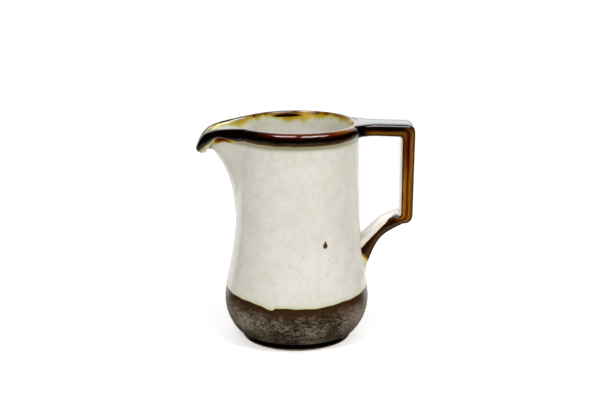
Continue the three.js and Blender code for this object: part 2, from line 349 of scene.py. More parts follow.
def liner_profile(jug):
    """From the rim's seam down the inside to the middle of the floor."""
    seam = jug.rim_height - jug.rim_seam
    floor_top = jug.foot_recess + jug.floor
    soft = 3 * MM
    side = [Vector((liner_radius(jug, z), z)) for z in ramp(seam, floor_top + soft, 44)]
    corner = Vector((liner_radius(jug, floor_top), floor_top))
    floor = [Vector((corner.x * t, floor_top)) for t in ramp(0.86, 0, 8)]
    return [*side[:-1], *ease(side[-1], corner, floor[0], 6), *floor[1:]]


def offset(path, distance):
    """A profile moved out of the clay by a distance, with mitred corners."""
    normals = []
    for here, there in zip(path, path[1:]):
        along = (there - here).normalized()
        normals.append(Vector((along.y, -along.x)))
    moved = []
    for i, point in enumerate(path):
        mitre = normals[max(i - 1, 0)] + normals[min(i, len(normals) - 1)]
        moved.append(point + mitre * (2 * distance / mitre.length_squared))
    return moved


def closed_coat(jug, path):
    """A profile given the thickness of a glaze coat, and closed."""
    inside = offset(path, jug.bond - jug.coat)
    for point in inside:
        point.x = max(point.x, 0)
    return [*path, *reversed(inside), path[0]]


# Moves that turn the spun skin into the real jug


def flank(angle, spread):
    """Height of the pulled spout's outline at an angle: 1 in its middle, 0 where its flanks meet the neck."""
    return max(1 - (angle / spread) ** 2, 0)


# Share of the spout's height over which the step at its start rises
STEP_RISE = 0.08

# The pinch beside the spout's tip: its middle and half width, as heights of the spout's outline
PINCH_PLACE, PINCH_WIDTH = 0.76, 0.16


def pulled_neck(jug, spout, angle, z):
    """A point of the outer neck after the spout is pulled. Angle 0 is the spout's middle."""
    lift = max((z - spout.start) / (jug.rim_height - spout.start), 0)
    spread = spout.throat_spread + (spout.rim_spread - spout.throat_spread) * min(lift, 1) ** spout.fan_power
    crease = spout.throat_crease + (spout.rim_crease - spout.throat_crease) * min(lift, 1) ** 2
    bell = flank(angle, spread) ** crease
    lip = smooth(z, spout.lip_start, jug.rim_height - MM)
    pull = spout.throat_pull * lift ** spout.throat_pull_power + spout.lip_pull * lip
    pull += spout.step * smooth(lift, 0, STEP_RISE)
    droop = spout.throat_droop * lift ** spout.throat_droop_power + spout.lip_droop * lip
    droop *= (1 - spout.curl) * bell + spout.curl * bell ** spout.curl_power
    return Vector((
        -jug.neck_radius * math.cos(angle) - pull * bell,
        -jug.neck_radius * math.sin(angle),
        z - droop,
    ))


def bend(jug, spout, radius, angle, z):
    """A point of the wall, carried along the pulled neck's normal so that no layer changes thickness.

    Beside the spout's tip, the bead is pinched lower.
    """
    tip = flank(angle, spout.rim_spread)
    if z <= spout.start or not tip:
        return Vector((-radius * math.cos(angle), -radius * math.sin(angle), z))
    depth = jug.rim_height - z
    fading = 1 - smooth(depth, jug.bead_height, 4 * jug.bead_height)
    pinched = spout.pinch * math.exp(-((tip - PINCH_PLACE) / PINCH_WIDTH) ** 2)
    z += pinched * min(depth, jug.bead_height) * fading
    probe = 1e-3
    around = pulled_neck(jug, spout, angle + probe, z) - pulled_neck(jug, spout, angle - probe, z)
    rise = probe * MM
    upward = pulled_neck(jug, spout, angle, z + rise) - pulled_neck(jug, spout, angle, z - rise)
    outward = around.cross(upward).normalized()
    return pulled_neck(jug, spout, angle, z) + outward * (radius - jug.neck_radius)


# Waves in the pale glaze's lower edge: their height in mm, their number round the jug and their start
WAVES = ((0.16, 9, 0.6), (0.1, 23, 0))

# Tears in that edge: where each starts, is lowest and ends, in degrees from the spout, and its depth in mm
TEARS = ((60, 69, 73.5, 1.2), (-97, -88, -84, 0.8), (-143, -133, -130, 0.7))

# Runs of brown glaze inside the rim: place and half width in degrees from the spout, and length in mm
RUNS = (
    (-12, 8, 1.2), (-27, 7, 2.3), (-80, 14, 2.7), (-98, 6, 1.9), (-113, 10, 1), (-134, 12, 0.3),
    (20, 8, 1.6), (45, 10, 0.6), (72, 12, 1.8), (95, 8, 1.2), (120, 12, 1), (150, 10, 0.7), (178, 10, 0.6),
)
RUN_LEAST = 1.5

# A pool of brown glaze on the lip: its place and half width in degrees from the spout
POOL = (-79, 15)


def line_shift(jug, angle):
    """How much higher the pale glaze's edge lies at an angle than at its lowest side."""
    shift = jug.line_rise * (1 + math.cos(2 * angle)) / 2
    shift += sum(height * MM * math.sin(count * angle + start) for height, count, start in WAVES)
    degrees = math.degrees(angle)
    for start, lowest, end, depth in TEARS:
        middle = (lowest + end) / 2
        shift -= depth * MM * smooth(degrees, start, lowest) * (1 - smooth(degrees, middle, end))
    return shift


def apart(degrees, place):
    """Degrees between two places round the jug."""
    return abs((degrees - place + 180) % 360 - 180)


def run_length(angle):
    """How far the brown glaze runs down inside the rim at an angle, in mm."""
    degrees = math.degrees(angle)
    runs = [size * math.exp(-((apart(degrees, place) / width) ** 2)) for place, width, size in RUNS]
    return RUN_LEAST + sum(runs)


def pool_share(angle):
    """How much of the pool on the lip lies at an angle."""
    place, width = POOL
    return math.exp(-((apart(math.degrees(angle), place) / width) ** 4))


# Steps of modelling that the pieces share


def new_vertex(name):
    """A new mesh object in edit mode, with one vertex at the origin."""
    bpy.ops.object.select_all(action="DESELECT")
    bpy.ops.mesh.primitive_plane_add(size=1, location=(0, 0, 0))
    piece = bpy.context.object
    piece.name = name
    piece.data.name = name
    bpy.ops.object.mode_set(mode="EDIT")
    bpy.ops.mesh.select_all(action="SELECT")
    bpy.ops.mesh.merge(type="CENTER")
    return piece


def draw(path):
    """Moves the selected vertex to the first point of a path and extrudes it along the rest."""
    points = [Vector((point.x, 0, point.y)) for point in path]
    bpy.ops.transform.translate(value=points[0])
    for here, there in zip(points, points[1:]):
        bpy.ops.mesh.extrude_vertices_move(TRANSFORM_OT_translate={"value": there - here})


def spin(name, profile, columns):
    """A profile drawn beside the Z axis and spun round it into a closed skin."""
    piece = new_vertex(name)
    draw(profile)
    bpy.ops.mesh.select_all(action="SELECT")
    bpy.ops.mesh.remove_doubles(threshold=MM * 1e-3)
    bpy.ops.mesh.spin(steps=columns, angle=math.tau, center=(0, 0, 0), axis=(0, 0, 1))
    bpy.ops.mesh.select_all(action="SELECT")
    bpy.ops.mesh.remove_doubles(threshold=MM * 1e-3)
    bpy.ops.mesh.normals_make_consistent(inside=False)
    bpy.ops.object.mode_set(mode="OBJECT")
    if len(piece.data.polygons) < columns:
        raise RuntimeError(f"{name} was not spun")
    return piece


def store(piece, name, values):
    """Keeps one number for each vertex, for a material to read."""
    layer = piece.data.attributes.new(name, "FLOAT", "POINT")
    layer.data.foreach_set("value", values)


def lathe_angle(spout, point):
    """Angle of a spun vertex from the spout, crowded towards it."""
    around = math.atan2(-point.y, -point.x)
    return around - spout.crowding * math.sin(around)


def settle(context, piece, edge_reach=None):
    """Turns a spun skin into the jug's own form. Returns each vertex's angle, radius and height before that.

    Where an edge reach is given, the skin's edge on the glaze line follows its rise and its tears, and the
    vertices above or below take part of that move, down to none at that distance.
    """
    jug, spout = context.scene.creamer_jug, context.scene.creamer_spout
    spun = []
    for vertex in piece.data.vertices:
        angle = lathe_angle(spout, vertex.co)
        radius = math.hypot(vertex.co.x, vertex.co.y)
        z = vertex.co.z
        spun.append((angle, radius, z))
        if edge_reach:
            held = min(abs(z - jug.glaze_line) / edge_reach, 1)
            lifted = z + line_shift(jug, angle) * (1 - held)
            radius += wall_radius(jug, lifted) - wall_radius(jug, z)
            z = lifted
        vertex.co = bend(jug, spout, radius, angle, z) + Vector((axis_x, 0, 0))
    return spun


# Edges that turn more than this stay sharp
SHARP = math.radians(50)


def finish_piece(piece, material, slot, *nodes):
    """Smooths a piece, gives it its material, hides the parts of model.glb that it stands for, and attaches
    it to what it rides on.
    """
    bpy.ops.object.select_all(action="DESELECT")
    piece.select_set(True)
    bpy.context.view_layer.objects.active = piece
    bpy.ops.object.shade_smooth_by_angle(angle=SHARP)
    piece.data.materials.clear()
    piece.data.materials.append(material)
    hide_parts(*nodes)
    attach(piece, BODY)


# Materials

GLAZE_IOR = 1.52

# Roughness of the pale and the brown glaze, and how far apart the ripples in each lie, in mm
PALE_ROUGHNESS, PALE_RIPPLE = 0.2, 3.0
IRON_ROUGHNESS, IRON_RIPPLE = 0.08, 2.5
RIPPLE_DEPTH = 0.03 * MM


def per_metre(size):
    """Scale of a pattern whose features have a size in millimetres."""
    return 1 / (size * MM)


def add(tree, kind, inputs=None, stops=(), **settings):
    """Adds a node with its settings, and links or sets its inputs.

    Stops are a colour ramp's places and its colours, of the sidebar or as sRGB hex codes.
    """
    node = tree.nodes.new(kind)
    for name, value in settings.items():
        setattr(node, name, value)
    for socket, value in (inputs or {}).items():
        if isinstance(value, bpy.types.NodeSocket):
            tree.links.new(value, node.inputs[socket])
        else:
            node.inputs[socket].default_value = value
    for i, (place, shade) in enumerate(stops):
        elements = node.color_ramp.elements
        stop = elements[i] if i < len(elements) else elements.new(place)
        stop.position = place
        stop.color = (*(linear(shade) if isinstance(shade, str) else shade), 1)
    return node


def new_material(name):
    """An empty material and its tree."""
    material = bpy.data.materials.new(name)
    material.use_nodes = True
    tree = material.node_tree
    tree.nodes.clear()
    return material, tree


def pale_ground(tree, glaze):
    """Oatmeal glaze: slow warm clouds, and a fine speckle of iron that shows through it."""
    place = add(tree, "ShaderNodeTexCoord").outputs["Object"]
    clouds = add(tree, "ShaderNodeTexNoise", {"Vector": place, "Scale": per_metre(16), "Detail": 3.0})
    warmth = add(tree, "ShaderNodeMapRange", {
        "Value": clouds.outputs["Fac"], "From Min": 0.42, "From Max": 0.72, "To Max": 0.45,
    })
    ground = add(tree, "ShaderNodeMix", {
        MIX_FACTOR: warmth.outputs["Result"], MIX_A: (*glaze.pale, 1), MIX_B: (*glaze.pale_warm, 1),
    }, data_type="RGBA")
    mottles = add(tree, "ShaderNodeTexNoise", {"Vector": place, "Scale": per_metre(4.5), "Detail": 2.0})
    mottled = add(tree, "ShaderNodeMapRange", {
        "Value": mottles.outputs["Fac"], "From Min": 0.4, "From Max": 0.7, "To Max": 0.16,
    })
    ground = add(tree, "ShaderNodeMix", {
        MIX_FACTOR: mottled.outputs["Result"], MIX_A: ground.outputs[MIX_RESULT], MIX_B: (*glaze.speckle, 1),
    }, data_type="RGBA")
    # Real specks are 0.2 to 0.5 mm and would vanish in the picture, so they are drawn at 1.3 mm
    specks = add(tree, "ShaderNodeTexNoise", {
        "Vector": place, "Scale": per_metre(1.3), "Detail": 3.0, "Roughness": 0.6,
    })
    spotted = add(tree, "ShaderNodeMapRange", {
        "Value": specks.outputs["Fac"], "From Min": 0.5, "From Max": 0.76, "To Max": 0.28,
    })
    speckled = add(tree, "ShaderNodeMix", {
        MIX_FACTOR: spotted.outputs["Result"],
        MIX_A: ground.outputs[MIX_RESULT],
        MIX_B: (*glaze.speckle, 1),
    }, data_type="RGBA")
    return speckled.outputs[MIX_RESULT]


def glaze_skin(tree, size):
    """The faint ripple of a fired glaze, a few millimetres across."""
    place = add(tree, "ShaderNodeTexCoord").outputs["Object"]
    ripple = add(tree, "ShaderNodeTexNoise", {"Vector": place, "Scale": per_metre(size), "Detail": 1.5})
    return add(tree, "ShaderNodeBump", {
        "Height": ripple.outputs["Fac"], "Strength": 0.35, "Distance": RIPPLE_DEPTH,
    }).outputs["Normal"]


def gloss(tree, shade, roughness, normal):
    """The fired skin, from glassy to matt, over its colour."""
    surface = add(tree, "ShaderNodeBsdfPrincipled", {
        "Base Color": shade, "Roughness": roughness, "IOR": GLAZE_IOR, "Normal": normal,
    })
    add(tree, "ShaderNodeOutputMaterial", {"Surface": surface.outputs["BSDF"]})


# The iron spot: its distance from the jug's axis towards the handle, its height, the half sizes of its drop
# and its point, and how much higher the point lies
SPOT_SIDE, SPOT_HEIGHT = 13.35 * MM, 51.9 * MM
SPOT_DROP = (1.15 * MM, 1.35 * MM)
SPOT_POINT = (0.6 * MM, 1.8 * MM)
SPOT_POINT_LIFT = 0.5 * MM


def iron_spot(tree, jug):
    """Share of the iron spot: 1 inside its drop or its point, 0 outside them."""
    place = add(tree, "ShaderNodeTexCoord").outputs["Object"]
    forward = -math.sqrt(wall_radius(jug, SPOT_HEIGHT) ** 2 - SPOT_SIDE ** 2)
    reaches = []
    for (across, up), lift in ((SPOT_DROP, 0), (SPOT_POINT, SPOT_POINT_LIFT)):
        centre = Vector((axis_x + SPOT_SIDE, forward, SPOT_HEIGHT + lift))
        sizes = Vector((1 / across, 0.5 / across, 1 / up))
        local = add(tree, "ShaderNodeMapping", {"Vector": place, "Location": -centre * sizes, "Scale": sizes})
        reaches.append(add(tree, "ShaderNodeVectorMath", {0: local.outputs["Vector"]}, operation="LENGTH"))
    nearest = add(tree, "ShaderNodeMath", {
        0: reaches[0].outputs["Value"], 1: reaches[1].outputs["Value"],
    }, operation="MINIMUM")
    return add(tree, "ShaderNodeMapRange", {
        "Value": nearest.outputs["Value"], "From Min": 0.75, "From Max": 1.15, "To Min": 1.0, "To Max": 0.0,
    }).outputs["Result"]


def oatmeal_wall(jug, glaze):
    """Poured oatmeal glaze: pale and glassy, greenish along its thick lower edge and under the rim, where a
    painted shadow line lies just under the bead.
    """
    material, tree = new_material("oatmeal stoneware glaze")
    shade = pale_ground(tree, glaze)
    # Under the bead: a warm tan fringe, then a dark grey-green line that is painted shadow of the bead, then
    # the celadon tint where the glazes ran together, fading down the wall
    under_rim = add(tree, "ShaderNodeAttribute", attribute_name="rim_mm").outputs["Fac"]
    under_bead_place = add(tree, "ShaderNodeMapRange", {"Value": under_rim, "From Min": -0.4, "From Max": 4.4})
    tint_and_shadow_colour = add(tree, "ShaderNodeValToRGB", {"Fac": under_bead_place.outputs["Result"]}, stops=(
        (0.0, "8C7444"), (0.1, "C0AC7C"), (0.22, "A2A280"), (0.32, "989C7E"),
        (0.45, "B8BCA2"), (0.7, glaze.celadon),
    ))
    tint_and_shadow_share = add(tree, "ShaderNodeMapRange", {
        "Value": under_rim, "From Min": 1.0, "From Max": 3.6, "To Min": 0.9, "To Max": 0.0,
    }, interpolation_type="SMOOTHSTEP")
    tinted_and_shadowed = add(tree, "ShaderNodeMix", {
        MIX_FACTOR: tint_and_shadow_share.outputs["Result"], MIX_A: shade, MIX_B: tint_and_shadow_colour.outputs["Color"],
    }, data_type="RGBA")
    # Amber smears that ran out from under the bead beside the spout
    smear = add(tree, "ShaderNodeAttribute", attribute_name="smear").outputs["Fac"]
    smear_shade = add(tree, "ShaderNodeValToRGB", {"Fac": smear}, stops=(
        (0.15, glaze.celadon), (0.35, glaze.yellow), (0.55, glaze.amber), (0.85, glaze.russet),
    ))
    smear_share = add(tree, "ShaderNodeMapRange", {"Value": smear, "From Min": 0.08, "From Max": 0.4})
    smeared = add(tree, "ShaderNodeMix", {
        MIX_FACTOR: smear_share.outputs["Result"],
        MIX_A: tinted_and_shadowed.outputs[MIX_RESULT],
        MIX_B: smear_shade.outputs["Color"],
    }, data_type="RGBA")
    # The lower edge: an olive line, a yellow-green roll, then a celadon tint that fades upwards
    above_line = add(tree, "ShaderNodeAttribute", attribute_name="line_mm").outputs["Fac"]
    edge_span = 3.6
    edge_place = add(tree, "ShaderNodeMapRange", {"Value": above_line, "From Max": edge_span})
    edge_shade = add(tree, "ShaderNodeValToRGB", {"Fac": edge_place.outputs["Result"]}, stops=(
        (0.0, glaze.olive), (0.06, glaze.golden), (0.13, "C8C890"), (0.3, "CCD0B8"),
    ))
    edge_share = add(tree, "ShaderNodeMapRange", {
        "Value": above_line, "From Min": 0.6, "From Max": edge_span, "To Min": 0.9, "To Max": 0.0,
    }, interpolation_type="SMOOTHERSTEP")
    edged = add(tree, "ShaderNodeMix", {
        MIX_FACTOR: edge_share.outputs["Result"],
        MIX_A: smeared.outputs[MIX_RESULT],
        MIX_B: edge_shade.outputs["Color"],
    }, data_type="RGBA")
    # One iron spot that bled through: a round drop with a pointed top
    drop = iron_spot(tree, jug)
    spotted = add(tree, "ShaderNodeMix", {
        MIX_FACTOR: drop, MIX_A: edged.outputs[MIX_RESULT], MIX_B: (*linear("4A2E0A"), 1),
    }, data_type="RGBA")
    gloss(tree, spotted.outputs[MIX_RESULT], PALE_ROUGHNESS, glaze_skin(tree, PALE_RIPPLE))
    return material


def oatmeal_liner(glaze):
    """Oatmeal glaze poured inside: as on the wall, with no edge of its own."""
    material, tree = new_material("oatmeal stoneware glaze, liner")
    gloss(tree, pale_ground(tree, glaze), PALE_ROUGHNESS, glaze_skin(tree, PALE_RIPPLE))
    return material


def green_liner(tree, glaze, crest):
    """Colour of the pale glaze just inside the rim, greener towards the brown."""
    green = add(tree, "ShaderNodeMapRange", {
        "Value": crest, "From Min": -11.0, "From Max": -4.0, "To Min": 0.0, "To Max": 0.55,
    }, interpolation_type="SMOOTHSTEP")
    return add(tree, "ShaderNodeMix", {
        MIX_FACTOR: green.outputs["Result"], MIX_A: pale_ground(tree, glaze), MIX_B: (*glaze.celadon, 1),
    }, data_type="RGBA").outputs[MIX_RESULT]


def iron_rim(glaze):
    """Iron-brown glaze dipped over the rim: black where thick, russet on the bead, amber where thin."""
    material, tree = new_material("iron-brown rim glaze")
    place = add(tree, "ShaderNodeTexCoord").outputs["Object"]
    crest = add(tree, "ShaderNodeAttribute", attribute_name="crest_mm").outputs["Fac"]
    wander = add(tree, "ShaderNodeTexNoise", {"Vector": place, "Scale": per_metre(5), "Detail": 3.0})
    stray = add(tree, "ShaderNodeMapRange", {
        "Value": wander.outputs["Fac"], "From Min": 0.25, "From Max": 0.75, "To Min": -0.45, "To Max": 0.45,
    })
    outside = add(tree, "ShaderNodeMath", {0: crest, 1: stray.outputs["Result"]}, operation="ADD")
    bead_span = 8.3
    bead_place = add(tree, "ShaderNodeMapRange", {"Value": outside.outputs["Value"], "From Max": bead_span})
    # Low on the bead the grey-brown stops are partly a painted reflection of the white floor
    russet_bead = add(tree, "ShaderNodeValToRGB", {"Fac": bead_place.outputs["Result"]}, stops=(
        (0.0, "3A1A08"), (0.1, "4A2606"), (0.2, "642E0E"), (0.29, glaze.russet),
        (0.38, "400500"), (0.48, "1C0200"), (0.56, glaze.pooled_and_shade), (0.67, glaze.pooled_and_shade),
        (0.74, "2D2719"), (0.83, "402E14"), (0.92, "523A16"), (1.0, "9C8A5A"),
    ))
    black_bead = add(tree, "ShaderNodeValToRGB", {"Fac": bead_place.outputs["Result"]}, stops=(
        (0.0, "2E1608"), (0.1, "1E0A02"), (0.2, "120301"), (0.3, glaze.pooled_and_shade),
        (0.67, glaze.pooled_and_shade), (0.75, "332B24"), (0.85, "46362A"), (0.94, "5E4630"),
        (1.0, "9C8A5A"),
    ))
    gilt_bead = add(tree, "ShaderNodeValToRGB", {"Fac": bead_place.outputs["Result"]}, stops=(
        (0.0, "7A5A26"), (0.12, "8C6020"), (0.24, "82500A"), (0.34, "663606"),
        (0.43, "2A0400"), (0.5, glaze.pooled_and_shade), (0.66, glaze.pooled_and_shade), (0.76, "422414"),
        (0.88, "5A361A"), (1.0, "9C8A5A"),
    ))
    # Towards the spout the bead is black. Towards the strap it turns to gold, then to black where it pooled
    lies = add(tree, "ShaderNodeSeparateXYZ", {"Vector": place})
    along_x = lies.outputs["X"]
    sway = add(tree, "ShaderNodeMath", {0: stray.outputs["Result"], 1: 6 * MM}, operation="MULTIPLY")
    side = add(tree, "ShaderNodeMath", {0: along_x, 1: sway.outputs["Value"]}, operation="ADD")
    bead_shade = russet_bead.outputs["Color"]
    for start, end, shades in ((-7, -19, black_bead), (15, 22, gilt_bead), (25, 28.5, black_bead)):
        turned = add(tree, "ShaderNodeMapRange", {
            "Value": side.outputs["Value"], "From Min": axis_x + start * MM, "From Max": axis_x + end * MM,
        })
        bead_shade = add(tree, "ShaderNodeMix", {
            MIX_FACTOR: turned.outputs["Result"], MIX_A: bead_shade, MIX_B: shades.outputs["Color"],
        }, data_type="RGBA").outputs[MIX_RESULT]
    # Inside, the glaze ran down in tongues: brown at the lip, amber, then a yellow-green edge that melts away
    upright = add(tree, "ShaderNodeMapping", {"Vector": place, "Scale": (1, 1, 0.12)})
    streaks = add(tree, "ShaderNodeTexNoise", {
        "Vector": upright.outputs["Vector"], "Scale": per_metre(2.4), "Detail": 3.0, "Roughness": 0.6,
    })
    ragged = add(tree, "ShaderNodeMapRange", {
        "Value": streaks.outputs["Fac"], "From Min": 0.25, "From Max": 0.75, "To Min": -0.8, "To Max": 0.8,
    })
    run = add(tree, "ShaderNodeAttribute", attribute_name="run_mm").outputs["Fac"]
    reach = add(tree, "ShaderNodeMath", {0: run, 1: crest}, operation="ADD")
    for uneven in (ragged, stray):
        reach = add(tree, "ShaderNodeMath", {
            0: reach.outputs["Value"], 1: uneven.outputs["Result"],
        }, operation="ADD")
    run_place = add(tree, "ShaderNodeMapRange", {
        "Value": reach.outputs["Value"], "From Min": -3.0, "From Max": 4.0,
    })
    run_shade = add(tree, "ShaderNodeValToRGB", {"Fac": run_place.outputs["Result"]}, stops=(
        (0.0, glaze.celadon), (0.14, "C0C290"), (0.27, "BDB468"), (0.37, "B89C34"),
        (0.46, "B0841A"), (0.58, glaze.amber), (0.74, "8A5A0A"), (0.88, "5A3206"),
        (1.0, "3A1A06"),
    ))
    # In the spout the runs are thin and turn a yellow green
    in_spout = add(tree, "ShaderNodeMapRange", {
        "Value": along_x, "From Min": axis_x - 24 * MM, "From Max": axis_x - 31 * MM, "To Max": 0.65,
    })
    run_shade = add(tree, "ShaderNodeMix", {
        MIX_FACTOR: in_spout.outputs["Result"],
        MIX_A: run_shade.outputs["Color"],
        MIX_B: (*linear("B4AE4A"), 1),
    }, data_type="RGBA")
    # Beside the pool on the far side they are thinnest, and yellow
    from_gap = add(tree, "ShaderNodeMath", {0: along_x, 1: axis_x + 5.5 * MM}, operation="SUBTRACT")
    gap = add(tree, "ShaderNodeMath", {0: from_gap.outputs["Value"]}, operation="ABSOLUTE")
    far = add(tree, "ShaderNodeMath", {0: lies.outputs["Y"], 1: 0.0}, operation="GREATER_THAN")
    thin = add(tree, "ShaderNodeMapRange", {
        "Value": gap.outputs["Value"], "From Min": 5 * MM, "From Max": 1.5 * MM, "To Max": 0.75,
    })
    thin_share = add(tree, "ShaderNodeMath", {
        0: thin.outputs["Result"], 1: far.outputs["Value"],
    }, operation="MULTIPLY")
    run_shade = add(tree, "ShaderNodeMix", {
        MIX_FACTOR: thin_share.outputs["Value"],
        MIX_A: run_shade.outputs[MIX_RESULT],
        MIX_B: (*linear("D2B04A"), 1),
    }, data_type="RGBA")
    run_share = add(tree, "ShaderNodeMapRange", {
        "Value": reach.outputs["Value"], "From Min": -3.4, "From Max": -0.8,
    }, interpolation_type="SMOOTHSTEP")
    lined = add(tree, "ShaderNodeMix", {
        MIX_FACTOR: run_share.outputs["Result"],
        MIX_A: green_liner(tree, glaze, crest),
        MIX_B: run_shade.outputs[MIX_RESULT],
    }, data_type="RGBA")
    # A dark pool lies along part of the lip
    pool = add(tree, "ShaderNodeAttribute", attribute_name="pool").outputs["Fac"]
    pool_band = add(tree, "ShaderNodeMapRange", {
        "Value": crest, "From Min": -4.1, "From Max": -1.5, "To Min": -1.4, "To Max": 1.4,
    })
    pool_shape = add(tree, "ShaderNodeMath", {
        0: pool_band.outputs["Result"], 1: pool_band.outputs["Result"],
    }, operation="MULTIPLY")
    pool_depth = add(tree, "ShaderNodeMath", {0: pool, 1: pool_shape.outputs["Value"]}, operation="SUBTRACT")
    pool_now = add(tree, "ShaderNodeMapRange", {"Value": pool_depth.outputs["Value"], "From Max": 0.6})
    pooled_and_shade = add(tree, "ShaderNodeMix", {
        MIX_FACTOR: pool_now.outputs["Result"], MIX_A: lined.outputs[MIX_RESULT], MIX_B: (*glaze.pooled_and_shade, 1),
    }, data_type="RGBA")
    # The dark line on the crest breaks up where the glaze drew away from it
    over_crest = add(tree, "ShaderNodeMapRange", {
        "Value": outside.outputs["Value"], "From Min": -2.3, "From Max": -1.2,
    })
    broken = add(tree, "ShaderNodeMapRange", {
        "Value": wander.outputs["Fac"], "From Min": 0.4, "From Max": 0.56, "To Min": 0.35, "To Max": 1.0,
    })
    on_bead = add(tree, "ShaderNodeMapRange", {"Value": crest, "From Min": -0.4, "From Max": 0.4})
    covered = add(tree, "ShaderNodeMath", {
        0: broken.outputs["Result"], 1: on_bead.outputs["Result"],
    }, operation="MAXIMUM")
    covered = add(tree, "ShaderNodeMath", {
        0: covered.outputs["Value"], 1: over_crest.outputs["Result"],
    }, operation="MULTIPLY")
    whole = add(tree, "ShaderNodeMix", {
        MIX_FACTOR: covered.outputs["Value"], MIX_A: pooled_and_shade.outputs[MIX_RESULT], MIX_B: bead_shade,
    }, data_type="RGBA")
    # Under the tip of the spout the brown drained away
    drained = add(tree, "ShaderNodeMapRange", {
        "Value": outside.outputs["Value"], "From Min": bead_span, "From Max": bead_span + 2,
    })
    whole = add(tree, "ShaderNodeMix", {
        MIX_FACTOR: drained.outputs["Result"], MIX_A: whole.outputs[MIX_RESULT], MIX_B: (*glaze.celadon, 1),
    }, data_type="RGBA")
    gloss(tree, whole.outputs[MIX_RESULT], IRON_ROUGHNESS, glaze_skin(tree, IRON_RIPPLE))
    return material


def dry_base(glaze):
    """Dry iron glaze: satin dark brown with a silvery bloom in fine mottles and drawn-out streaks, more of it
    painted at its two sides as sheen, and a painted shadow on the foot.
    """
    material, tree = new_material("dry iron-brown base glaze")
    place = add(tree, "ShaderNodeTexCoord").outputs["Object"]
    # The bloom is worn into patches, and within them into grains and level streaks
    patches = add(tree, "ShaderNodeTexNoise", {"Vector": place, "Scale": per_metre(9), "Detail": 3.0})
    grains = add(tree, "ShaderNodeTexNoise", {
        "Vector": place, "Scale": per_metre(1.1), "Detail": 4.0, "Roughness": 0.75,
    })
    level = add(tree, "ShaderNodeMapping", {"Vector": place, "Scale": (1, 1, 3.5)})
    streaks = add(tree, "ShaderNodeTexNoise", {
        "Vector": level.outputs["Vector"], "Scale": per_metre(3), "Detail": 4.0, "Roughness": 0.65,
    })
    worn = add(tree, "ShaderNodeMath", {0: grains.outputs["Fac"], 1: 1.5}, operation="MULTIPLY")
    worn = add(tree, "ShaderNodeMath", {0: worn.outputs["Value"], 1: streaks.outputs["Fac"]}, operation="ADD")
    worn = add(tree, "ShaderNodeMath", {
        0: patches.outputs["Fac"], 1: 0.7, 2: worn.outputs["Value"],
    }, operation="MULTIPLY_ADD")
    # At its two sides, under the spout and under the handle, more bloom colour is painted on as sheen
    lies = add(tree, "ShaderNodeSeparateXYZ", {"Vector": place})
    from_axis = add(tree, "ShaderNodeMath", {0: lies.outputs["X"], 1: axis_x}, operation="SUBTRACT")
    sideways = add(tree, "ShaderNodeMath", {0: from_axis.outputs["Value"]}, operation="ABSOLUTE")
    side_sheen = add(tree, "ShaderNodeMapRange", {
        "Value": sideways.outputs["Value"], "From Min": 19 * MM, "From Max": 31 * MM, "To Max": 0.28,
    })
    worn = add(tree, "ShaderNodeMath", {
        0: worn.outputs["Value"], 1: side_sheen.outputs["Result"],
    }, operation="ADD")
    bloom = add(tree, "ShaderNodeMapRange", {
        "Value": worn.outputs["Value"], "From Min": 1.48, "From Max": 1.96, "To Max": 0.9,
    })
    # It stops at a ragged edge under the pale glaze, and fades towards the foot, but not at the two sides,
    # where the painted sheen goes on down
    below_line = add(tree, "ShaderNodeAttribute", attribute_name="line_mm").outputs["Fac"]
    ragged = add(tree, "ShaderNodeMath", {
        0: streaks.outputs["Fac"], 1: 8.0, 2: below_line,
    }, operation="MULTIPLY_ADD")
    clear_top = add(tree, "ShaderNodeMapRange", {
        "Value": ragged.outputs["Value"], "From Min": 5.5, "From Max": 12.5,
    })
    bloomed_and_sheen = add(tree, "ShaderNodeMath", {
        0: bloom.outputs["Result"], 1: clear_top.outputs["Result"],
    }, operation="MULTIPLY")
    height = lies.outputs["Z"]
    fading = add(tree, "ShaderNodeMapRange", {
        "Value": height, "From Min": 7 * MM, "From Max": 12 * MM, "To Min": 0.65, "To Max": 1.0,
    })
    at_side = add(tree, "ShaderNodeMath", {0: side_sheen.outputs["Result"], 1: 3.0}, operation="MULTIPLY")
    lasting = add(tree, "ShaderNodeMath", {
        0: fading.outputs["Result"], 1: at_side.outputs["Value"],
    }, operation="MAXIMUM")
    bloomed_and_sheen = add(tree, "ShaderNodeMath", {
        0: bloomed_and_sheen.outputs["Value"], 1: lasting.outputs["Value"],
    }, operation="MULTIPLY")
    top_shade = add(tree, "ShaderNodeMix", {
        MIX_FACTOR: clear_top.outputs["Result"], MIX_A: (*glaze.base_rich, 1), MIX_B: (*glaze.base, 1),
    }, data_type="RGBA")
    shade = add(tree, "ShaderNodeMix", {
        MIX_FACTOR: bloomed_and_sheen.outputs["Value"],
        MIX_A: top_shade.outputs[MIX_RESULT],
        MIX_B: (*glaze.base_bloom_and_sheen, 1),
    }, data_type="RGBA")
    # The foot under the ledge is painted black as the shade that falls under the ledge; towards its two ends,
    # left and right, the black reaches less high
    higher = add(tree, "ShaderNodeMapRange", {
        "Value": sideways.outputs["Value"], "From Min": 18 * MM, "From Max": 24 * MM, "To Max": 3 * MM,
    })
    raised = add(tree, "ShaderNodeMath", {0: height, 1: higher.outputs["Result"]}, operation="ADD")
    above_foot = add(tree, "ShaderNodeMapRange", {
        "Value": raised.outputs["Value"], "From Min": 3.6 * MM, "From Max": 4.3 * MM,
    })
    whole = add(tree, "ShaderNodeMix", {
        MIX_FACTOR: above_foot.outputs["Result"], MIX_A: (*glaze.pooled_and_shade, 1), MIX_B: shade.outputs[MIX_RESULT],
    }, data_type="RGBA")
    roughness = add(tree, "ShaderNodeMapRange", {
        "Value": bloomed_and_sheen.outputs["Value"], "To Min": 0.3, "To Max": 0.55,
    })
    grain = add(tree, "ShaderNodeBump", {
        "Height": grains.outputs["Fac"], "Strength": 0.6, "Distance": 0.1 * MM,
    })
    gloss(tree, whole.outputs[MIX_RESULT], roughness.outputs["Result"], grain.outputs["Normal"])
    return material


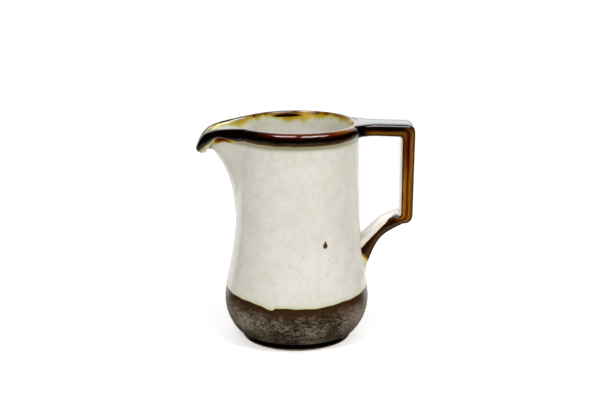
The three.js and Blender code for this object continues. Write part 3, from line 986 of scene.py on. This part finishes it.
def bare_stoneware(glaze):
    """Biscuit stoneware: matt and sandy, with darker grit."""
    material, tree = new_material("bare stoneware")
    place = add(tree, "ShaderNodeTexCoord").outputs["Object"]
    grit = add(tree, "ShaderNodeTexNoise", {
        "Vector": place, "Scale": per_metre(0.9), "Detail": 5.0, "Roughness": 0.7,
    })
    gritty = add(tree, "ShaderNodeMapRange", {
        "Value": grit.outputs["Fac"], "From Min": 0.5, "From Max": 0.75,
    })
    shade = add(tree, "ShaderNodeMix", {
        MIX_FACTOR: gritty.outputs["Result"], MIX_A: (*glaze.clay, 1), MIX_B: (*glaze.clay_grit, 1),
    }, data_type="RGBA")
    rough = add(tree, "ShaderNodeBump", {
        "Height": grit.outputs["Fac"], "Strength": 0.5, "Distance": 0.1 * MM,
    })
    gloss(tree, shade.outputs[MIX_RESULT], 0.85, rough.outputs["Normal"])
    return material


# Places along the strap, in mm from the rim: the ends of the bar's black root, the bar, the grip and the
# tongue of brown, where the pale glaze has climbed highest over the arm, and where it has drawn back again
BAR_ROOT, BAR_END, GRIP_END, TONGUE_END, ARM_PALE, ARM_LOW = 3.5, 23.0, 67.0, 74.0, 80.0, 88.0

# Where the grip's upper bands begin to turn into its lower ones, and where they have turned
HIGH_GRIP_END, LOW_GRIP_START = 33, 50

# How far the tongue of brown reaches in from the arm's near edge
TONGUE_REACH = 5.5 * MM

# Where the brown at the arm's root begins to thin to gold and where it ends, as heights along a slant
GOLD_SLANT, GOLD_START, GOLD_END = 0.8, 65.3 * MM, 61.3 * MM


def iron_strap(glaze):
    """Iron-brown glaze on the strap: dark edges and amber bands along it, pale oatmeal inside the opening."""
    material, tree = new_material("iron-brown strap glaze")
    along = add(tree, "ShaderNodeAttribute", attribute_name="along_mm").outputs["Fac"]
    across = add(tree, "ShaderNodeAttribute", attribute_name="across").outputs["Fac"]
    # The bands wander over 16 mm along the strap, and break into finer streaks
    run = add(tree, "ShaderNodeMath", {0: along, 1: 1 / 16}, operation="MULTIPLY")
    flow_place = add(tree, "ShaderNodeCombineXYZ", {"X": run.outputs["Value"], "Y": across})
    flow = add(tree, "ShaderNodeTexNoise", {
        "Vector": flow_place.outputs["Vector"], "Scale": 1.8, "Detail": 4.0,
    })
    drift = add(tree, "ShaderNodeMapRange", {
        "Value": flow.outputs["Fac"], "From Min": 0.25, "From Max": 0.75, "To Min": -0.12, "To Max": 0.12,
    })
    band = add(tree, "ShaderNodeMath", {0: across, 1: drift.outputs["Result"]}, operation="ADD")
    band_place = add(tree, "ShaderNodeMapRange", {
        "Value": band.outputs["Value"], "From Min": -1.0, "From Max": 1.0,
    })
    root_bands = add(tree, "ShaderNodeValToRGB", {"Fac": band_place.outputs["Result"]}, stops=(
        (0.0, "24120A"), (0.3, glaze.pooled_and_shade), (1.0, glaze.pooled_and_shade),
    ))
    bar_bands = add(tree, "ShaderNodeValToRGB", {"Fac": band_place.outputs["Result"]}, stops=(
        (0.0, "2E1804"), (0.12, "482B0B"), (0.26, "603807"), (0.36, "7A4A1A"),
        (0.45, "522C0C"), (0.53, "280C01"), (0.61, glaze.pooled_and_shade), (0.72, glaze.pooled_and_shade),
        (0.85, "200C06"), (1.0, glaze.pooled_and_shade),
    ))
    high_grip = add(tree, "ShaderNodeValToRGB", {"Fac": band_place.outputs["Result"]}, stops=(
        (0.0, "3A0E00"), (0.14, "481602"), (0.26, "662A04"), (0.38, "501E02"),
        (0.5, "2A0400"), (0.58, "2E0A00"), (0.68, "784414"), (0.78, "8C5A1E"),
        (0.9, "4A2508"), (1.0, "2A1604"),
    ))
    low_grip = add(tree, "ShaderNodeValToRGB", {"Fac": band_place.outputs["Result"]}, stops=(
        (0.0, "3A0E00"), (0.14, "4A1402"), (0.24, "A8680E"), (0.34, "9C5C0A"),
        (0.44, "5E2A00"), (0.54, "4E1E00"), (0.67, "94621C"), (0.78, "6E4A18"),
        (0.9, "5A3A10"), (1.0, "2A1604"),
    ))
    # On the arm the brown bands are greyed, partly as a painted reflection on its side face
    arm_bands_and_sheen = add(tree, "ShaderNodeValToRGB", {"Fac": band_place.outputs["Result"]}, stops=(
        (0.2, "340A02"), (0.36, glaze.tenmoku), (0.48, "2A1208"), (0.62, "44301F"),
        (0.78, "4C3A2B"), (0.9, "40281A"), (1.0, "261408"),
    ))
    brown = root_bands.outputs["Color"]
    for start, end, bands in (
        (BAR_ROOT, BAR_ROOT + 3, bar_bands), (BAR_END - 3, BAR_END + 4, high_grip),
        (HIGH_GRIP_END, LOW_GRIP_START, low_grip), (GRIP_END - 4, GRIP_END + 2, arm_bands_and_sheen),
    ):
        passed = add(tree, "ShaderNodeMapRange", {"Value": along, "From Min": start, "From Max": end})
        brown = add(tree, "ShaderNodeMix", {
            MIX_FACTOR: passed.outputs["Result"], MIX_A: brown, MIX_B: bands.outputs["Color"],
        }, data_type="RGBA").outputs[MIX_RESULT]
    # Low on the root the brown thins to gold and ends
    place = add(tree, "ShaderNodeTexCoord").outputs["Object"]
    lies = add(tree, "ShaderNodeSeparateXYZ", {"Vector": place})
    slant = add(tree, "ShaderNodeMath", {
        0: lies.outputs["X"], 1: GOLD_SLANT, 2: lies.outputs["Z"],
    }, operation="MULTIPLY_ADD")
    ragged = add(tree, "ShaderNodeMath", {
        0: drift.outputs["Result"], 1: 8 * MM, 2: slant.outputs["Value"],
    }, operation="MULTIPLY_ADD")
    low = add(tree, "ShaderNodeMapRange", {
        "Value": ragged.outputs["Value"], "From Min": GOLD_START, "From Max": GOLD_END,
    })
    thinned = add(tree, "ShaderNodeValToRGB", {"Fac": low.outputs["Result"]}, stops=(
        (0.0, "4A2C0E"), (0.25, "6E4812"), (0.45, "B08C34"), (0.62, "DDC27A"),
        (0.8, "E0CEA8"), (1.0, "D6CDB8"),
    ))
    thin_share = add(tree, "ShaderNodeMapRange", {"Value": low.outputs["Result"], "From Max": 0.3})
    brown = add(tree, "ShaderNodeMix", {
        MIX_FACTOR: thin_share.outputs["Result"], MIX_A: brown, MIX_B: thinned.outputs["Color"],
    }, data_type="RGBA").outputs[MIX_RESULT]
    # The pale glaze of the opening climbs over the arm's upper edge, and less so near its root
    climb = add(tree, "ShaderNodeMapRange", {
        "Value": along, "From Min": GRIP_END, "From Max": ARM_PALE, "To Min": -0.97, "To Max": -0.36,
    }, interpolation_type="SMOOTHSTEP")
    root = add(tree, "ShaderNodeMapRange", {
        "Value": along, "From Min": ARM_PALE, "From Max": ARM_LOW, "To Max": -0.2,
    })
    shore = add(tree, "ShaderNodeMath", {
        0: climb.outputs["Result"], 1: root.outputs["Result"],
    }, operation="ADD")
    away = add(tree, "ShaderNodeMath", {0: across, 1: shore.outputs["Value"]}, operation="SUBTRACT")
    waver = add(tree, "ShaderNodeMath", {0: drift.outputs["Result"], 1: 0.1}, operation="MULTIPLY")
    away = add(tree, "ShaderNodeMath", {0: away.outputs["Value"], 1: waver.outputs["Value"]}, operation="ADD")
    # At the arm's corner the brown runs on in a tongue, along the near edge of its upper face
    swells = add(tree, "ShaderNodeMapRange", {
        "Value": along, "From Min": GRIP_END - 3, "From Max": GRIP_END, "To Max": TONGUE_REACH,
    })
    ends = add(tree, "ShaderNodeMapRange", {
        "Value": along, "From Min": GRIP_END, "From Max": TONGUE_END, "To Min": TONGUE_REACH, "To Max": 0.0,
    })
    reach = add(tree, "ShaderNodeMath", {
        0: swells.outputs["Result"], 1: ends.outputs["Result"],
    }, operation="MINIMUM")
    tongue = add(tree, "ShaderNodeMath", {
        0: reach.outputs["Value"], 1: lies.outputs["Y"],
    }, operation="SUBTRACT")
    half_width = strap_high.y
    tongue_share = add(tree, "ShaderNodeMapRange", {
        "Value": tongue.outputs["Value"],
        "From Min": half_width, "From Max": half_width + 3 * MM, "To Max": 1.2,
    })
    away = add(tree, "ShaderNodeMath", {
        0: away.outputs["Value"], 1: tongue_share.outputs["Result"],
    }, operation="ADD")
    # Along the grip the two glazes part sharply, and on the arm they melt into each other
    sharp = add(tree, "ShaderNodeMapRange", {
        "Value": along, "From Min": GRIP_END, "From Max": ARM_PALE, "To Min": 3.2, "To Max": 1.8,
    })
    away = add(tree, "ShaderNodeMath", {
        0: away.outputs["Value"], 1: sharp.outputs["Result"],
    }, operation="MULTIPLY")
    edge_place = add(tree, "ShaderNodeMapRange", {
        "Value": away.outputs["Value"], "From Min": -0.08, "From Max": 0.24,
    })
    edge_shade = add(tree, "ShaderNodeValToRGB", {"Fac": edge_place.outputs["Result"]}, stops=(
        (0.0, "E0DAB8"), (0.25, "CDBB8A"), (0.5, "8A6230"), (0.75, "461A04"),
        (1.0, "2A0A02"),
    ))
    edge_share = add(tree, "ShaderNodeMapRange", {
        "Value": edge_place.outputs["Result"], "From Min": 0.7, "From Max": 1.0, "To Min": 1.0, "To Max": 0.0,
    })
    edged = add(tree, "ShaderNodeMix", {
        MIX_FACTOR: edge_share.outputs["Result"], MIX_A: brown, MIX_B: edge_shade.outputs["Color"],
    }, data_type="RGBA")
    pale_share = add(tree, "ShaderNodeMapRange", {
        "Value": edge_place.outputs["Result"],
        "From Min": 0.02, "From Max": 0.25, "To Min": 1.0, "To Max": 0.0,
    })
    whole = add(tree, "ShaderNodeMix", {
        MIX_FACTOR: pale_share.outputs["Result"],
        MIX_A: edged.outputs[MIX_RESULT],
        MIX_B: pale_ground(tree, glaze),
    }, data_type="RGBA")
    gloss(tree, whole.outputs[MIX_RESULT], IRON_ROUGHNESS, glaze_skin(tree, IRON_RIPPLE))
    return material


# Pieces


def wall_skin(jug, spout):
    """The wall's profile without its rolled edge, which lies on the clay and not in it."""
    return [point for point in wall_profile(jug, spout) if point.y > jug.glaze_line + ROLL][:-1]


# The low panel on which the handle was luted: where it starts to fall off and ends beside the strap, in
# degrees, the same above the arm's upper root, and how far it fades to both sides of the lower one
PANEL_SIDE = (17.5, 23.5)
PANEL_TOP = (4 * MM, 70 * MM)
PANEL_FOOT = 4 * MM


def root_swell(strap, angle, z):
    """How far the wall stands out where the handle was luted on."""
    beside = 1 - smooth(apart(math.degrees(angle), 180), *PANEL_SIDE)
    below_top = 1 - smooth(z, *[strap.upper_root + reach for reach in PANEL_TOP])
    above_bottom = smooth(z, strap.lower_root - PANEL_FOOT, strap.lower_root + PANEL_FOOT)
    return strap.swell * beside * below_top * above_bottom


# Smears beside the spout: their places and half width in degrees from it, and their depth under the bead and
# half height in mm
SMEARS, SMEAR_WIDTH = (19.5, -24), 7
SMEAR_DEPTH, SMEAR_HEIGHT = 1.2, 1.6


def smear_share(angle, below_bead):
    """How strong the smear beside the spout is at an angle and at a depth under the bead, in mm."""
    degrees = math.degrees(angle)
    beside = max(math.exp(-((apart(degrees, place) / SMEAR_WIDTH) ** 2)) for place in SMEARS)
    return beside * math.exp(-(((below_bead - SMEAR_DEPTH) / SMEAR_HEIGHT) ** 2))


def distances_from(path, start):
    """Distance of each point of a path from one of them, negative after it."""
    steps = [0, *[(b - a).length for a, b in zip(path, path[1:])]]
    walked = list(accumulate(steps))
    return [walked[start] - there for there in walked]


# How the arm's lower and upper edge leave the grip and meet the wall, as shares of their run and their fall,
# counted from the root
UNDER_ARM = ((0.36, 0.766), (0.36, 0.742))
OVER_ARM = ((0.42, 0.7), (0.48, 0.55))


def strap_rails(jug, strap):
    """The strap's outer and inner edge from the side, from the rim round to the wall, point for point."""
    crest = jug.neck_radius
    grip_inside = strap.reach - strap.grip
    bar_bottom = strap.top - strap.bar
    arm_top = strap.grip_bottom + strap.arm
    # The fillet between bar and rim: its reach, and on the bar's underside its drop and where it leans
    fillet, fillet_drop, fillet_lean = 4 * MM, 1.2 * MM, 1.5 * MM
    lower = Vector((wall_radius(jug, strap.lower_root) - strap.sink, strap.lower_root))
    upper = Vector((wall_radius(jug, strap.upper_root) - strap.sink, strap.upper_root))
    outer_turn = Vector((strap.reach, strap.top - strap.sag))
    lower_turn = Vector((strap.reach - strap.lean, strap.grip_bottom))
    inner_turn = Vector((grip_inside, bar_bottom - strap.sag))
    arm_turn = Vector((grip_inside, arm_top))
    right, up = Vector((1, 0)), Vector((0, 1))
    under_start = lower_turn - right * strap.lower_corner
    over_start = arm_turn - right * strap.inner_corner
    outer = [
        *line(Vector((crest, strap.top)), Vector((crest + fillet, strap.top)), 6),
        *line(Vector((crest + fillet, strap.top)), outer_turn - right * strap.outer_corner, 16)[1:],
        *ease(
            outer_turn - right * strap.outer_corner, outer_turn, outer_turn - up * strap.outer_corner, 8,
        )[1:],
        *line(outer_turn - up * strap.outer_corner, lower_turn + up * strap.lower_corner, 20)[1:],
        *ease(lower_turn + up * strap.lower_corner, lower_turn, under_start, 8)[1:],
        *arm_curve(under_start, lower, UNDER_ARM, 24)[1:],
    ]
    inner = [
        *ease(
            Vector((crest, bar_bottom - fillet_drop)), Vector((crest + fillet_lean, bar_bottom)),
            Vector((crest + fillet, bar_bottom)), 6,
        ),
        *line(Vector((crest + fillet, bar_bottom)), inner_turn - right * strap.inner_corner, 16)[1:],
        *ease(
            inner_turn - right * strap.inner_corner, inner_turn, inner_turn - up * strap.inner_corner, 8,
        )[1:],
        *line(inner_turn - up * strap.inner_corner, arm_turn + up * strap.inner_corner, 20)[1:],
        *ease(arm_turn + up * strap.inner_corner, arm_turn, over_start, 8)[1:],
        *arm_curve(over_start, upper, OVER_ARM, 24)[1:],
    ]
    shift = Vector((axis_x, 0))
    return [point + shift for point in outer], [point + shift for point in inner]


def arm_curve(start, root, shares, steps):
    """Edge of the arm from the grip to the wall, with its two handles as shares of its run and its fall."""
    run = start - root
    handles = [root + Vector((run.x * across, run.y * up)) for across, up in shares]
    return sweep(start, *handles, root, steps)


def mark_strap(piece, outer, inner):
    """Keeps each vertex's distance along the strap, and its side: 1 outside, -1 inside."""
    middle = [(a + b) / 2 for a, b in zip(outer, inner)]
    walked = [-there for there in distances_from(middle, 0)]
    tree = KDTree(2 * len(outer))
    for side, rail in enumerate((outer, inner)):
        for i, point in enumerate(rail):
            tree.insert((point.x, 0, point.y), i + side * len(outer))
    tree.balance()
    found = [tree.find(vertex.co)[1] for vertex in piece.data.vertices]
    store(piece, "along_mm", [walked[i % len(outer)] / MM for i in found])
    store(piece, "across", [1 if i < len(outer) else -1 for i in found])


def select_edges(piece, test):
    """Selects the edges whose two ends pass a test."""
    bpy.ops.object.mode_set(mode="EDIT")
    bpy.ops.mesh.select_mode(type="EDGE")
    bpy.ops.mesh.select_all(action="DESELECT")
    bpy.ops.object.mode_set(mode="OBJECT")
    points = piece.data.vertices
    for edge in piece.data.edges:
        edge.select = test(*[points[i].co for i in edge.vertices])
    bpy.ops.object.mode_set(mode="EDIT")


def give_width(piece, strap):
    """Makes the ribbon a strap of its full width, with its faces cut lengthwise in three."""
    thick = piece.modifiers.new("Width", "SOLIDIFY")
    thick.thickness = strap.width
    thick.offset = 0
    bpy.ops.object.modifier_apply(modifier=thick.name)
    half = strap.width / 2
    select_edges(piece, lambda a, b: abs(a.y - b.y) > half)
    bpy.ops.mesh.subdivide(number_cuts=2)
    bpy.ops.mesh.select_all(action="SELECT")
    bpy.ops.mesh.normals_make_consistent(inside=False)
    bpy.ops.object.mode_set(mode="OBJECT")


def round_edges(piece, strap):
    """Rounds the strap's four long edges."""
    half = strap.width / 2
    side = piece.data.attributes["across"].data
    across = {tuple(v.co): side[v.index].value for v in piece.data.vertices}

    def long_edge(a, b):
        same_side = abs(across[tuple(a)] - across[tuple(b)]) < 0.5
        return same_side and all(abs(abs(end.y) - half) < half * 1e-3 for end in (a, b))

    select_edges(piece, long_edge)
    bpy.ops.mesh.bevel(offset=strap.edge, segments=5, profile=0.5, affect="EDGES", clamp_overlap=True)
    bpy.ops.object.mode_set(mode="OBJECT")


# How late the bar widens towards the rim
FLARE_POWER = 2.2


def flare_roots(piece, jug, strap):
    """Crowns the strap's faces, widens its roots and wraps its upper end round the rim's crest."""
    half = strap.width / 2
    crest = jug.neck_radius
    along = piece.data.attributes["along_mm"].data
    last = max(entry.value for entry in along) * MM
    normals = [vertex.normal.copy() for vertex in piece.data.vertices]
    for vertex, normal in zip(piece.data.vertices, normals):
        walked = along[vertex.index].value * MM
        inside = max(1 - (vertex.co.y / half) ** 2, 0)
        at_rim = 1 - smooth(walked, 0, strap.flare_run)
        at_wall = 1 - smooth(last - walked, 0, strap.root_run)
        vertex.co += normal * (strap.crown * inside * (1 - max(at_rim, at_wall)))
        widen = strap.flare * max(1 - walked / strap.flare_run, 0) ** FLARE_POWER
        widen += strap.root_flare * max(1 - (last - walked) / strap.root_run, 0) ** 2
        vertex.co.y *= 1 + widen / half
        wrap = crest - math.sqrt(max(crest ** 2 - vertex.co.y ** 2, 0))
        vertex.co.x -= wrap * at_rim


# How much narrower the brown's bands are at the spout's tip, and how close to it
TIP_NARROW, TIP_POWER = 0.9, 20


class CREAMER_OT_clay_body(Operator):
    """Spin the biscuit jug with its foot ring, one coat of glaze under the finished skin"""

    bl_idname = "creamer.clay_body"
    bl_label = "Clay body"

    def execute(self, context):
        scene = context.scene
        jug, spout, glaze = scene.creamer_jug, scene.creamer_spout, scene.creamer_glaze
        skin = [*base_profile(jug)[:-2], *wall_skin(jug, spout), *rim_profile(jug), *liner_profile(jug)[1:]]
        clay = offset(skin, -jug.coat)
        ring = jug.foot_radius - jug.coat
        soft = 0.5 * MM
        inner = Vector((ring - jug.foot_ring, 0))
        outer = Vector((ring, 0))
        profile = [
            Vector((0, jug.foot_recess)),
            *ease(
                inner + Vector((-soft, jug.foot_recess)), inner + Vector((0, jug.foot_recess)),
                inner + Vector((0, jug.foot_recess - soft)), 3,
            ),
            *ease(inner + Vector((0, soft)), inner, inner + Vector((soft, 0)), 3),
            *ease(outer - Vector((soft, 0)), outer, outer + Vector((0, soft)), 3),
            *clay,
        ]
        profile[-1].x = 0
        piece = spin("clay_body", profile, jug.clay_columns)
        settle(context, piece)
        finish_piece(piece, bare_stoneware(glaze), "biscuit_stoneware", "stoneware_body")
        return {"FINISHED"}


class CREAMER_OT_base_coat(Operator):
    """Spin the dry brown coat from the wiped foot up to the pale glaze"""

    bl_idname = "creamer.base_coat"
    bl_label = "Base coat"

    def execute(self, context):
        jug, glaze = context.scene.creamer_jug, context.scene.creamer_glaze
        path = offset(base_profile(jug), -jug.bond)
        piece = spin("base_coat", closed_coat(jug, path), jug.columns)
        spun = settle(context, piece, edge_reach=14 * MM)
        store(piece, "line_mm", [(jug.glaze_line - z) / MM for angle, radius, z in spun])
        finish_piece(piece, dry_base(glaze), "dry_brown_glaze", "brown_base_glaze")
        return {"FINISHED"}


class CREAMER_OT_wall_coat(Operator):
    """Spin the pale coat of the outer wall, with its rolled lower edge and the throat of the spout"""

    bl_idname = "creamer.wall_coat"
    bl_label = "Wall coat"

    def execute(self, context):
        scene = context.scene
        jug, spout, glaze = scene.creamer_jug, scene.creamer_spout, scene.creamer_glaze
        piece = spin("wall_coat", closed_coat(jug, wall_profile(jug, spout)), jug.columns)
        spun = settle(context, piece, edge_reach=16 * MM)
        for vertex, (angle, radius, z) in zip(piece.data.vertices, spun):
            vertex.co.x += root_swell(scene.creamer_strap, angle, z)
        bead_bottom = jug.rim_height - jug.bead_height
        store(piece, "line_mm", [(z - jug.glaze_line) / MM for angle, radius, z in spun])
        store(piece, "rim_mm", [(bead_bottom - z) / MM for angle, radius, z in spun])
        store(piece, "smear", [smear_share(angle, (bead_bottom - z) / MM) for angle, radius, z in spun])
        finish_piece(piece, oatmeal_wall(jug, glaze), "pale_glaze", "pale_wall_glaze")
        return {"FINISHED"}


class CREAMER_OT_rim_coat(Operator):
    """Spin the brown coat of the bead, the lip and the spout's beak"""

    bl_idname = "creamer.rim_coat"
    bl_label = "Rim coat"

    def execute(self, context):
        scene = context.scene
        jug, spout, glaze = scene.creamer_jug, scene.creamer_spout, scene.creamer_glaze
        path = rim_profile(jug)
        piece = spin("rim_coat", closed_coat(jug, path), jug.columns)
        spun = settle(context, piece)
        crest = max(range(len(path)), key=lambda i: path[i].y)
        distances = distances_from(path, crest)
        rows = KDTree(len(path))
        for i, point in enumerate(path):
            rows.insert((point.x, 0, point.y), i)
        rows.balance()
        nearest = [rows.find((radius, 0, z))[1] for angle, radius, z in spun]
        drawn_in = [1 + TIP_NARROW * flank(angle, spout.rim_spread) ** TIP_POWER for angle, radius, z in spun]
        store(piece, "crest_mm", [distances[i] / MM * narrow for i, narrow in zip(nearest, drawn_in)])
        store(piece, "run_mm", [run_length(angle) for angle, radius, z in spun])
        store(piece, "pool", [pool_share(angle) for angle, radius, z in spun])
        finish_piece(piece, iron_rim(glaze), "glossy_brown_glaze", "brown_rim_glaze")
        return {"FINISHED"}


class CREAMER_OT_liner_coat(Operator):
    """Spin the pale coat of the inside, from under the rim down to the floor"""

    bl_idname = "creamer.liner_coat"
    bl_label = "Liner coat"

    def execute(self, context):
        jug, glaze = context.scene.creamer_jug, context.scene.creamer_glaze
        piece = spin("liner_coat", closed_coat(jug, liner_profile(jug)), jug.columns)
        settle(context, piece)
        finish_piece(piece, oatmeal_liner(glaze), "pale_glaze", "pale_liner_glaze")
        return {"FINISHED"}


class CREAMER_OT_strap_handle(Operator):
    """Bridge the strap's two rails, give it its width, round its edges and flare its roots"""

    bl_idname = "creamer.strap_handle"
    bl_label = "Strap handle"

    def execute(self, context):
        jug, strap = context.scene.creamer_jug, context.scene.creamer_strap
        outer, inner = strap_rails(jug, strap)
        piece = new_vertex("strap_handle")
        draw(outer)
        bpy.ops.mesh.select_all(action="DESELECT")
        bpy.ops.mesh.primitive_plane_add(size=1, location=(0, 0, 0))
        bpy.ops.mesh.merge(type="CENTER")
        draw(inner)
        bpy.ops.mesh.select_all(action="SELECT")
        bpy.ops.mesh.bridge_edge_loops()
        bpy.ops.object.mode_set(mode="OBJECT")
        if len(piece.data.polygons) != len(outer) - 1:
            raise RuntimeError("the strap's rails were not bridged")
        mark_strap(piece, outer, inner)
        give_width(piece, strap)
        round_edges(piece, strap)
        flare_roots(piece, jug, strap)
        nodes = (
            "stoneware_handle", "brown_handle_glaze", "pale_handle_glaze",
            "upper_slip_joint", "lower_slip_joint",
        )
        finish_piece(piece, iron_strap(context.scene.creamer_glaze), "glossy_brown_glaze", *nodes)
        return {"FINISHED"}


# Studio


def in_picture(tree):
    """1 for the rays of the camera, of mirrors and of glass, 0 for those that only light."""
    rays = add(tree, "ShaderNodeLightPath")
    seen = rays.outputs["Is Camera Ray"]
    for kind in ("Is Glossy Ray", "Is Transmission Ray"):
        either = add(tree, "ShaderNodeMath", {0: seen, 1: rays.outputs[kind]}, operation="MAXIMUM")
        seen = either.outputs["Value"]
    return seen


def lay_floor(studio):
    """A wide pale floor that keeps the creamer's shadow."""
    bpy.ops.object.select_all(action="DESELECT")
    bpy.ops.mesh.primitive_plane_add(size=studio.floor_size, location=(0, 0, 0))
    floor = bpy.context.object
    floor.name = "floor"
    material, tree = new_material("matt white paper")
    surface = add(tree, "ShaderNodeBsdfDiffuse", {"Color": (*studio.floor_colour, 1)})
    # White paper that is lit a little over white in the picture
    lift = add(tree, "ShaderNodeMath", {0: in_picture(tree), 1: studio.floor_lift}, operation="MULTIPLY")
    glow = add(tree, "ShaderNodeEmission", {"Strength": lift.outputs["Value"]})
    whole = add(tree, "ShaderNodeAddShader", {0: surface.outputs["BSDF"], 1: glow.outputs["Emission"]})
    add(tree, "ShaderNodeOutputMaterial", {"Surface": whole.outputs["Shader"]})
    floor.data.materials.append(material)


def hang_hood(studio):
    """A dark tent all round, open at the back down to the floor, which only the glazes' reflections see."""
    bpy.ops.object.select_all(action="DESELECT")
    bpy.ops.mesh.primitive_uv_sphere_add(
        segments=36, ring_count=18, radius=studio.hood_radius, location=(0, 0, 0)
    )
    hood = bpy.context.object
    hood.name = "hood"
    bpy.ops.object.mode_set(mode="EDIT")
    bpy.ops.mesh.select_mode(type="FACE")
    bpy.ops.mesh.select_all(action="DESELECT")
    bpy.ops.object.mode_set(mode="OBJECT")
    for face in hood.data.polygons:
        away = face.center.normalized()
        around = abs(math.atan2(away.x, away.y))
        in_window = around < studio.window_side and math.asin(away.z) < studio.window_top
        face.select = in_window or around < studio.sheet_side and away.z < 0
    # The lower half is laid flat, as a dark sheet over the floor
    for vertex in hood.data.vertices:
        vertex.co.z = max(vertex.co.z, MM)
    bpy.ops.object.mode_set(mode="EDIT")
    bpy.ops.mesh.delete(type="FACE")
    bpy.ops.object.mode_set(mode="OBJECT")
    material, tree = new_material("black velvet")
    surface = add(tree, "ShaderNodeBsdfDiffuse", {"Color": (*studio.hood_colour, 1)})
    add(tree, "ShaderNodeOutputMaterial", {"Surface": surface.outputs["BSDF"]})
    hood.data.materials.append(material)
    hood.visible_camera = False
    hood.visible_diffuse = False
    hood.visible_shadow = False
    hood.visible_transmission = False


# Lamps: name, direction from the camera's side and height above the floor in degrees, distance and size in
# metres, brightness of its face, and whether it lights the creamer and shows in its glazes
LAMPS = (
    ("left softbox", -31, 45, 1.1, (0.4, 0.2), 15, True, False),
    ("right softbox", 44, 45, 1.1, (0.4, 0.2), 19.4, True, False),
    ("top softbox", 0, 72, 1.1, (0.9, 0.3), 2.2, True, False),
    ("back softbox", 180, 22, 1.9, (2.2, 0.9), 1.05, True, True),
    ("left strip", -66, 78, 1.1, (0.4, 0.3), 14, False, True),
    ("right strip", 78, 65, 1.1, (0.3, 0.3), 11, False, True),
    ("front strip", 49, 73, 1.1, (0.3, 0.5), 9, False, True),
)


def hang_lamps():
    """Softboxes that all face the middle of the creamer."""
    aim = Vector((axis_x, 0, rim_high.z / 2))
    for name, around, height, distance, size, brightness, lights, shows in LAMPS:
        side, lift = math.radians(around), math.radians(height)
        away = Vector((math.sin(side) * math.cos(lift), -math.cos(side) * math.cos(lift), math.sin(lift)))
        bpy.ops.object.light_add(type="AREA", location=aim + away * distance)
        lamp = bpy.context.object
        lamp.name = name
        lamp.rotation_euler = (-math.asin(away.y), math.atan2(away.x, away.z), 0)
        lamp.visible_diffuse = lights
        lamp.visible_glossy = shows
        lamp.data.shape = "RECTANGLE"
        lamp.data.size, lamp.data.size_y = size
        lamp.data.energy = brightness * math.pi * size[0] * size[1]


def light_world(scene, studio):
    """Even light from all round, and a white room for the camera, the mirrors and the glass."""
    world = bpy.data.worlds.new("white room")
    world.use_nodes = True
    scene.world = world
    tree = world.node_tree
    tree.nodes.clear()
    strength = add(tree, "ShaderNodeMapRange", {
        "Value": in_picture(tree), "To Min": studio.ambient, "To Max": 1.0,
    })
    light = add(tree, "ShaderNodeBackground", {"Color": (1, 1, 1, 1), "Strength": strength.outputs["Result"]})
    add(tree, "ShaderNodeOutputWorld", {"Surface": light.outputs["Background"]})


def place_camera(scene, studio):
    """The camera stands square to the handle, a little above the rim, and looks down."""
    bpy.ops.object.camera_add(
        location=(axis_x + studio.camera_side, -studio.camera_distance, studio.camera_height),
        rotation=(math.pi / 2 - studio.camera_dip, 0, 0),
    )
    camera = bpy.context.object
    camera.data.lens = studio.camera_lens
    scene.camera = camera


class CREAMER_OT_studio(Operator):
    """Set the pale floor, the soft lamps, the dark hood that the glazes mirror, and the camera"""

    bl_idname = "creamer.studio"
    bl_label = "Studio"

    def execute(self, context):
        studio = context.scene.creamer_studio
        lay_floor(studio)
        hang_hood(studio)
        hang_lamps()
        light_world(context.scene, studio)
        place_camera(context.scene, studio)
        context.scene.view_settings.view_transform = "Standard"
        return {"FINISHED"}


class CREAMER_PT_pieces(Panel):
    """The creamer's pieces and sizes, in the order in which it is made"""

    bl_label = "Stoneware creamer"
    bl_idname = "CREAMER_PT_pieces"
    bl_space_type = "VIEW_3D"
    bl_region_type = "UI"
    bl_category = "Creamer"

    def draw(self, context):
        for operator in OPERATORS:
            self.layout.operator(operator.bl_idname)
        for name, group in GROUPS.items():
            box = self.layout.box()
            box.label(text=group.__doc__)
            settings = getattr(context.scene, name)
            for key in group.__annotations__:
                box.prop(settings, key)


GROUPS = {
    "creamer_jug": JugSizes,
    "creamer_spout": SpoutSizes,
    "creamer_strap": StrapSizes,
    "creamer_glaze": GlazeColours,
    "creamer_studio": StudioSettings,
}
OPERATORS = (
    CREAMER_OT_clay_body,
    CREAMER_OT_base_coat,
    CREAMER_OT_wall_coat,
    CREAMER_OT_rim_coat,
    CREAMER_OT_liner_coat,
    CREAMER_OT_strap_handle,
    CREAMER_OT_studio,
)


def register():
    for name, group in GROUPS.items():
        bpy.utils.register_class(group)
        setattr(bpy.types.Scene, name, PointerProperty(type=group))
    for cls in (*OPERATORS, CREAMER_PT_pieces):
        bpy.utils.register_class(cls)


def unregister():
    for cls in (CREAMER_PT_pieces, *reversed(OPERATORS)):
        bpy.utils.unregister_class(cls)
    for name, group in GROUPS.items():
        delattr(bpy.types.Scene, name)
        bpy.utils.unregister_class(group)


def main():
    register()
    bpy.ops.creamer.clay_body()
    bpy.ops.creamer.base_coat()
    bpy.ops.creamer.wall_coat()
    bpy.ops.creamer.rim_coat()
    bpy.ops.creamer.liner_coat()
    bpy.ops.creamer.strap_handle()
    bpy.ops.creamer.studio()


if __name__ == "__main__":
    main()
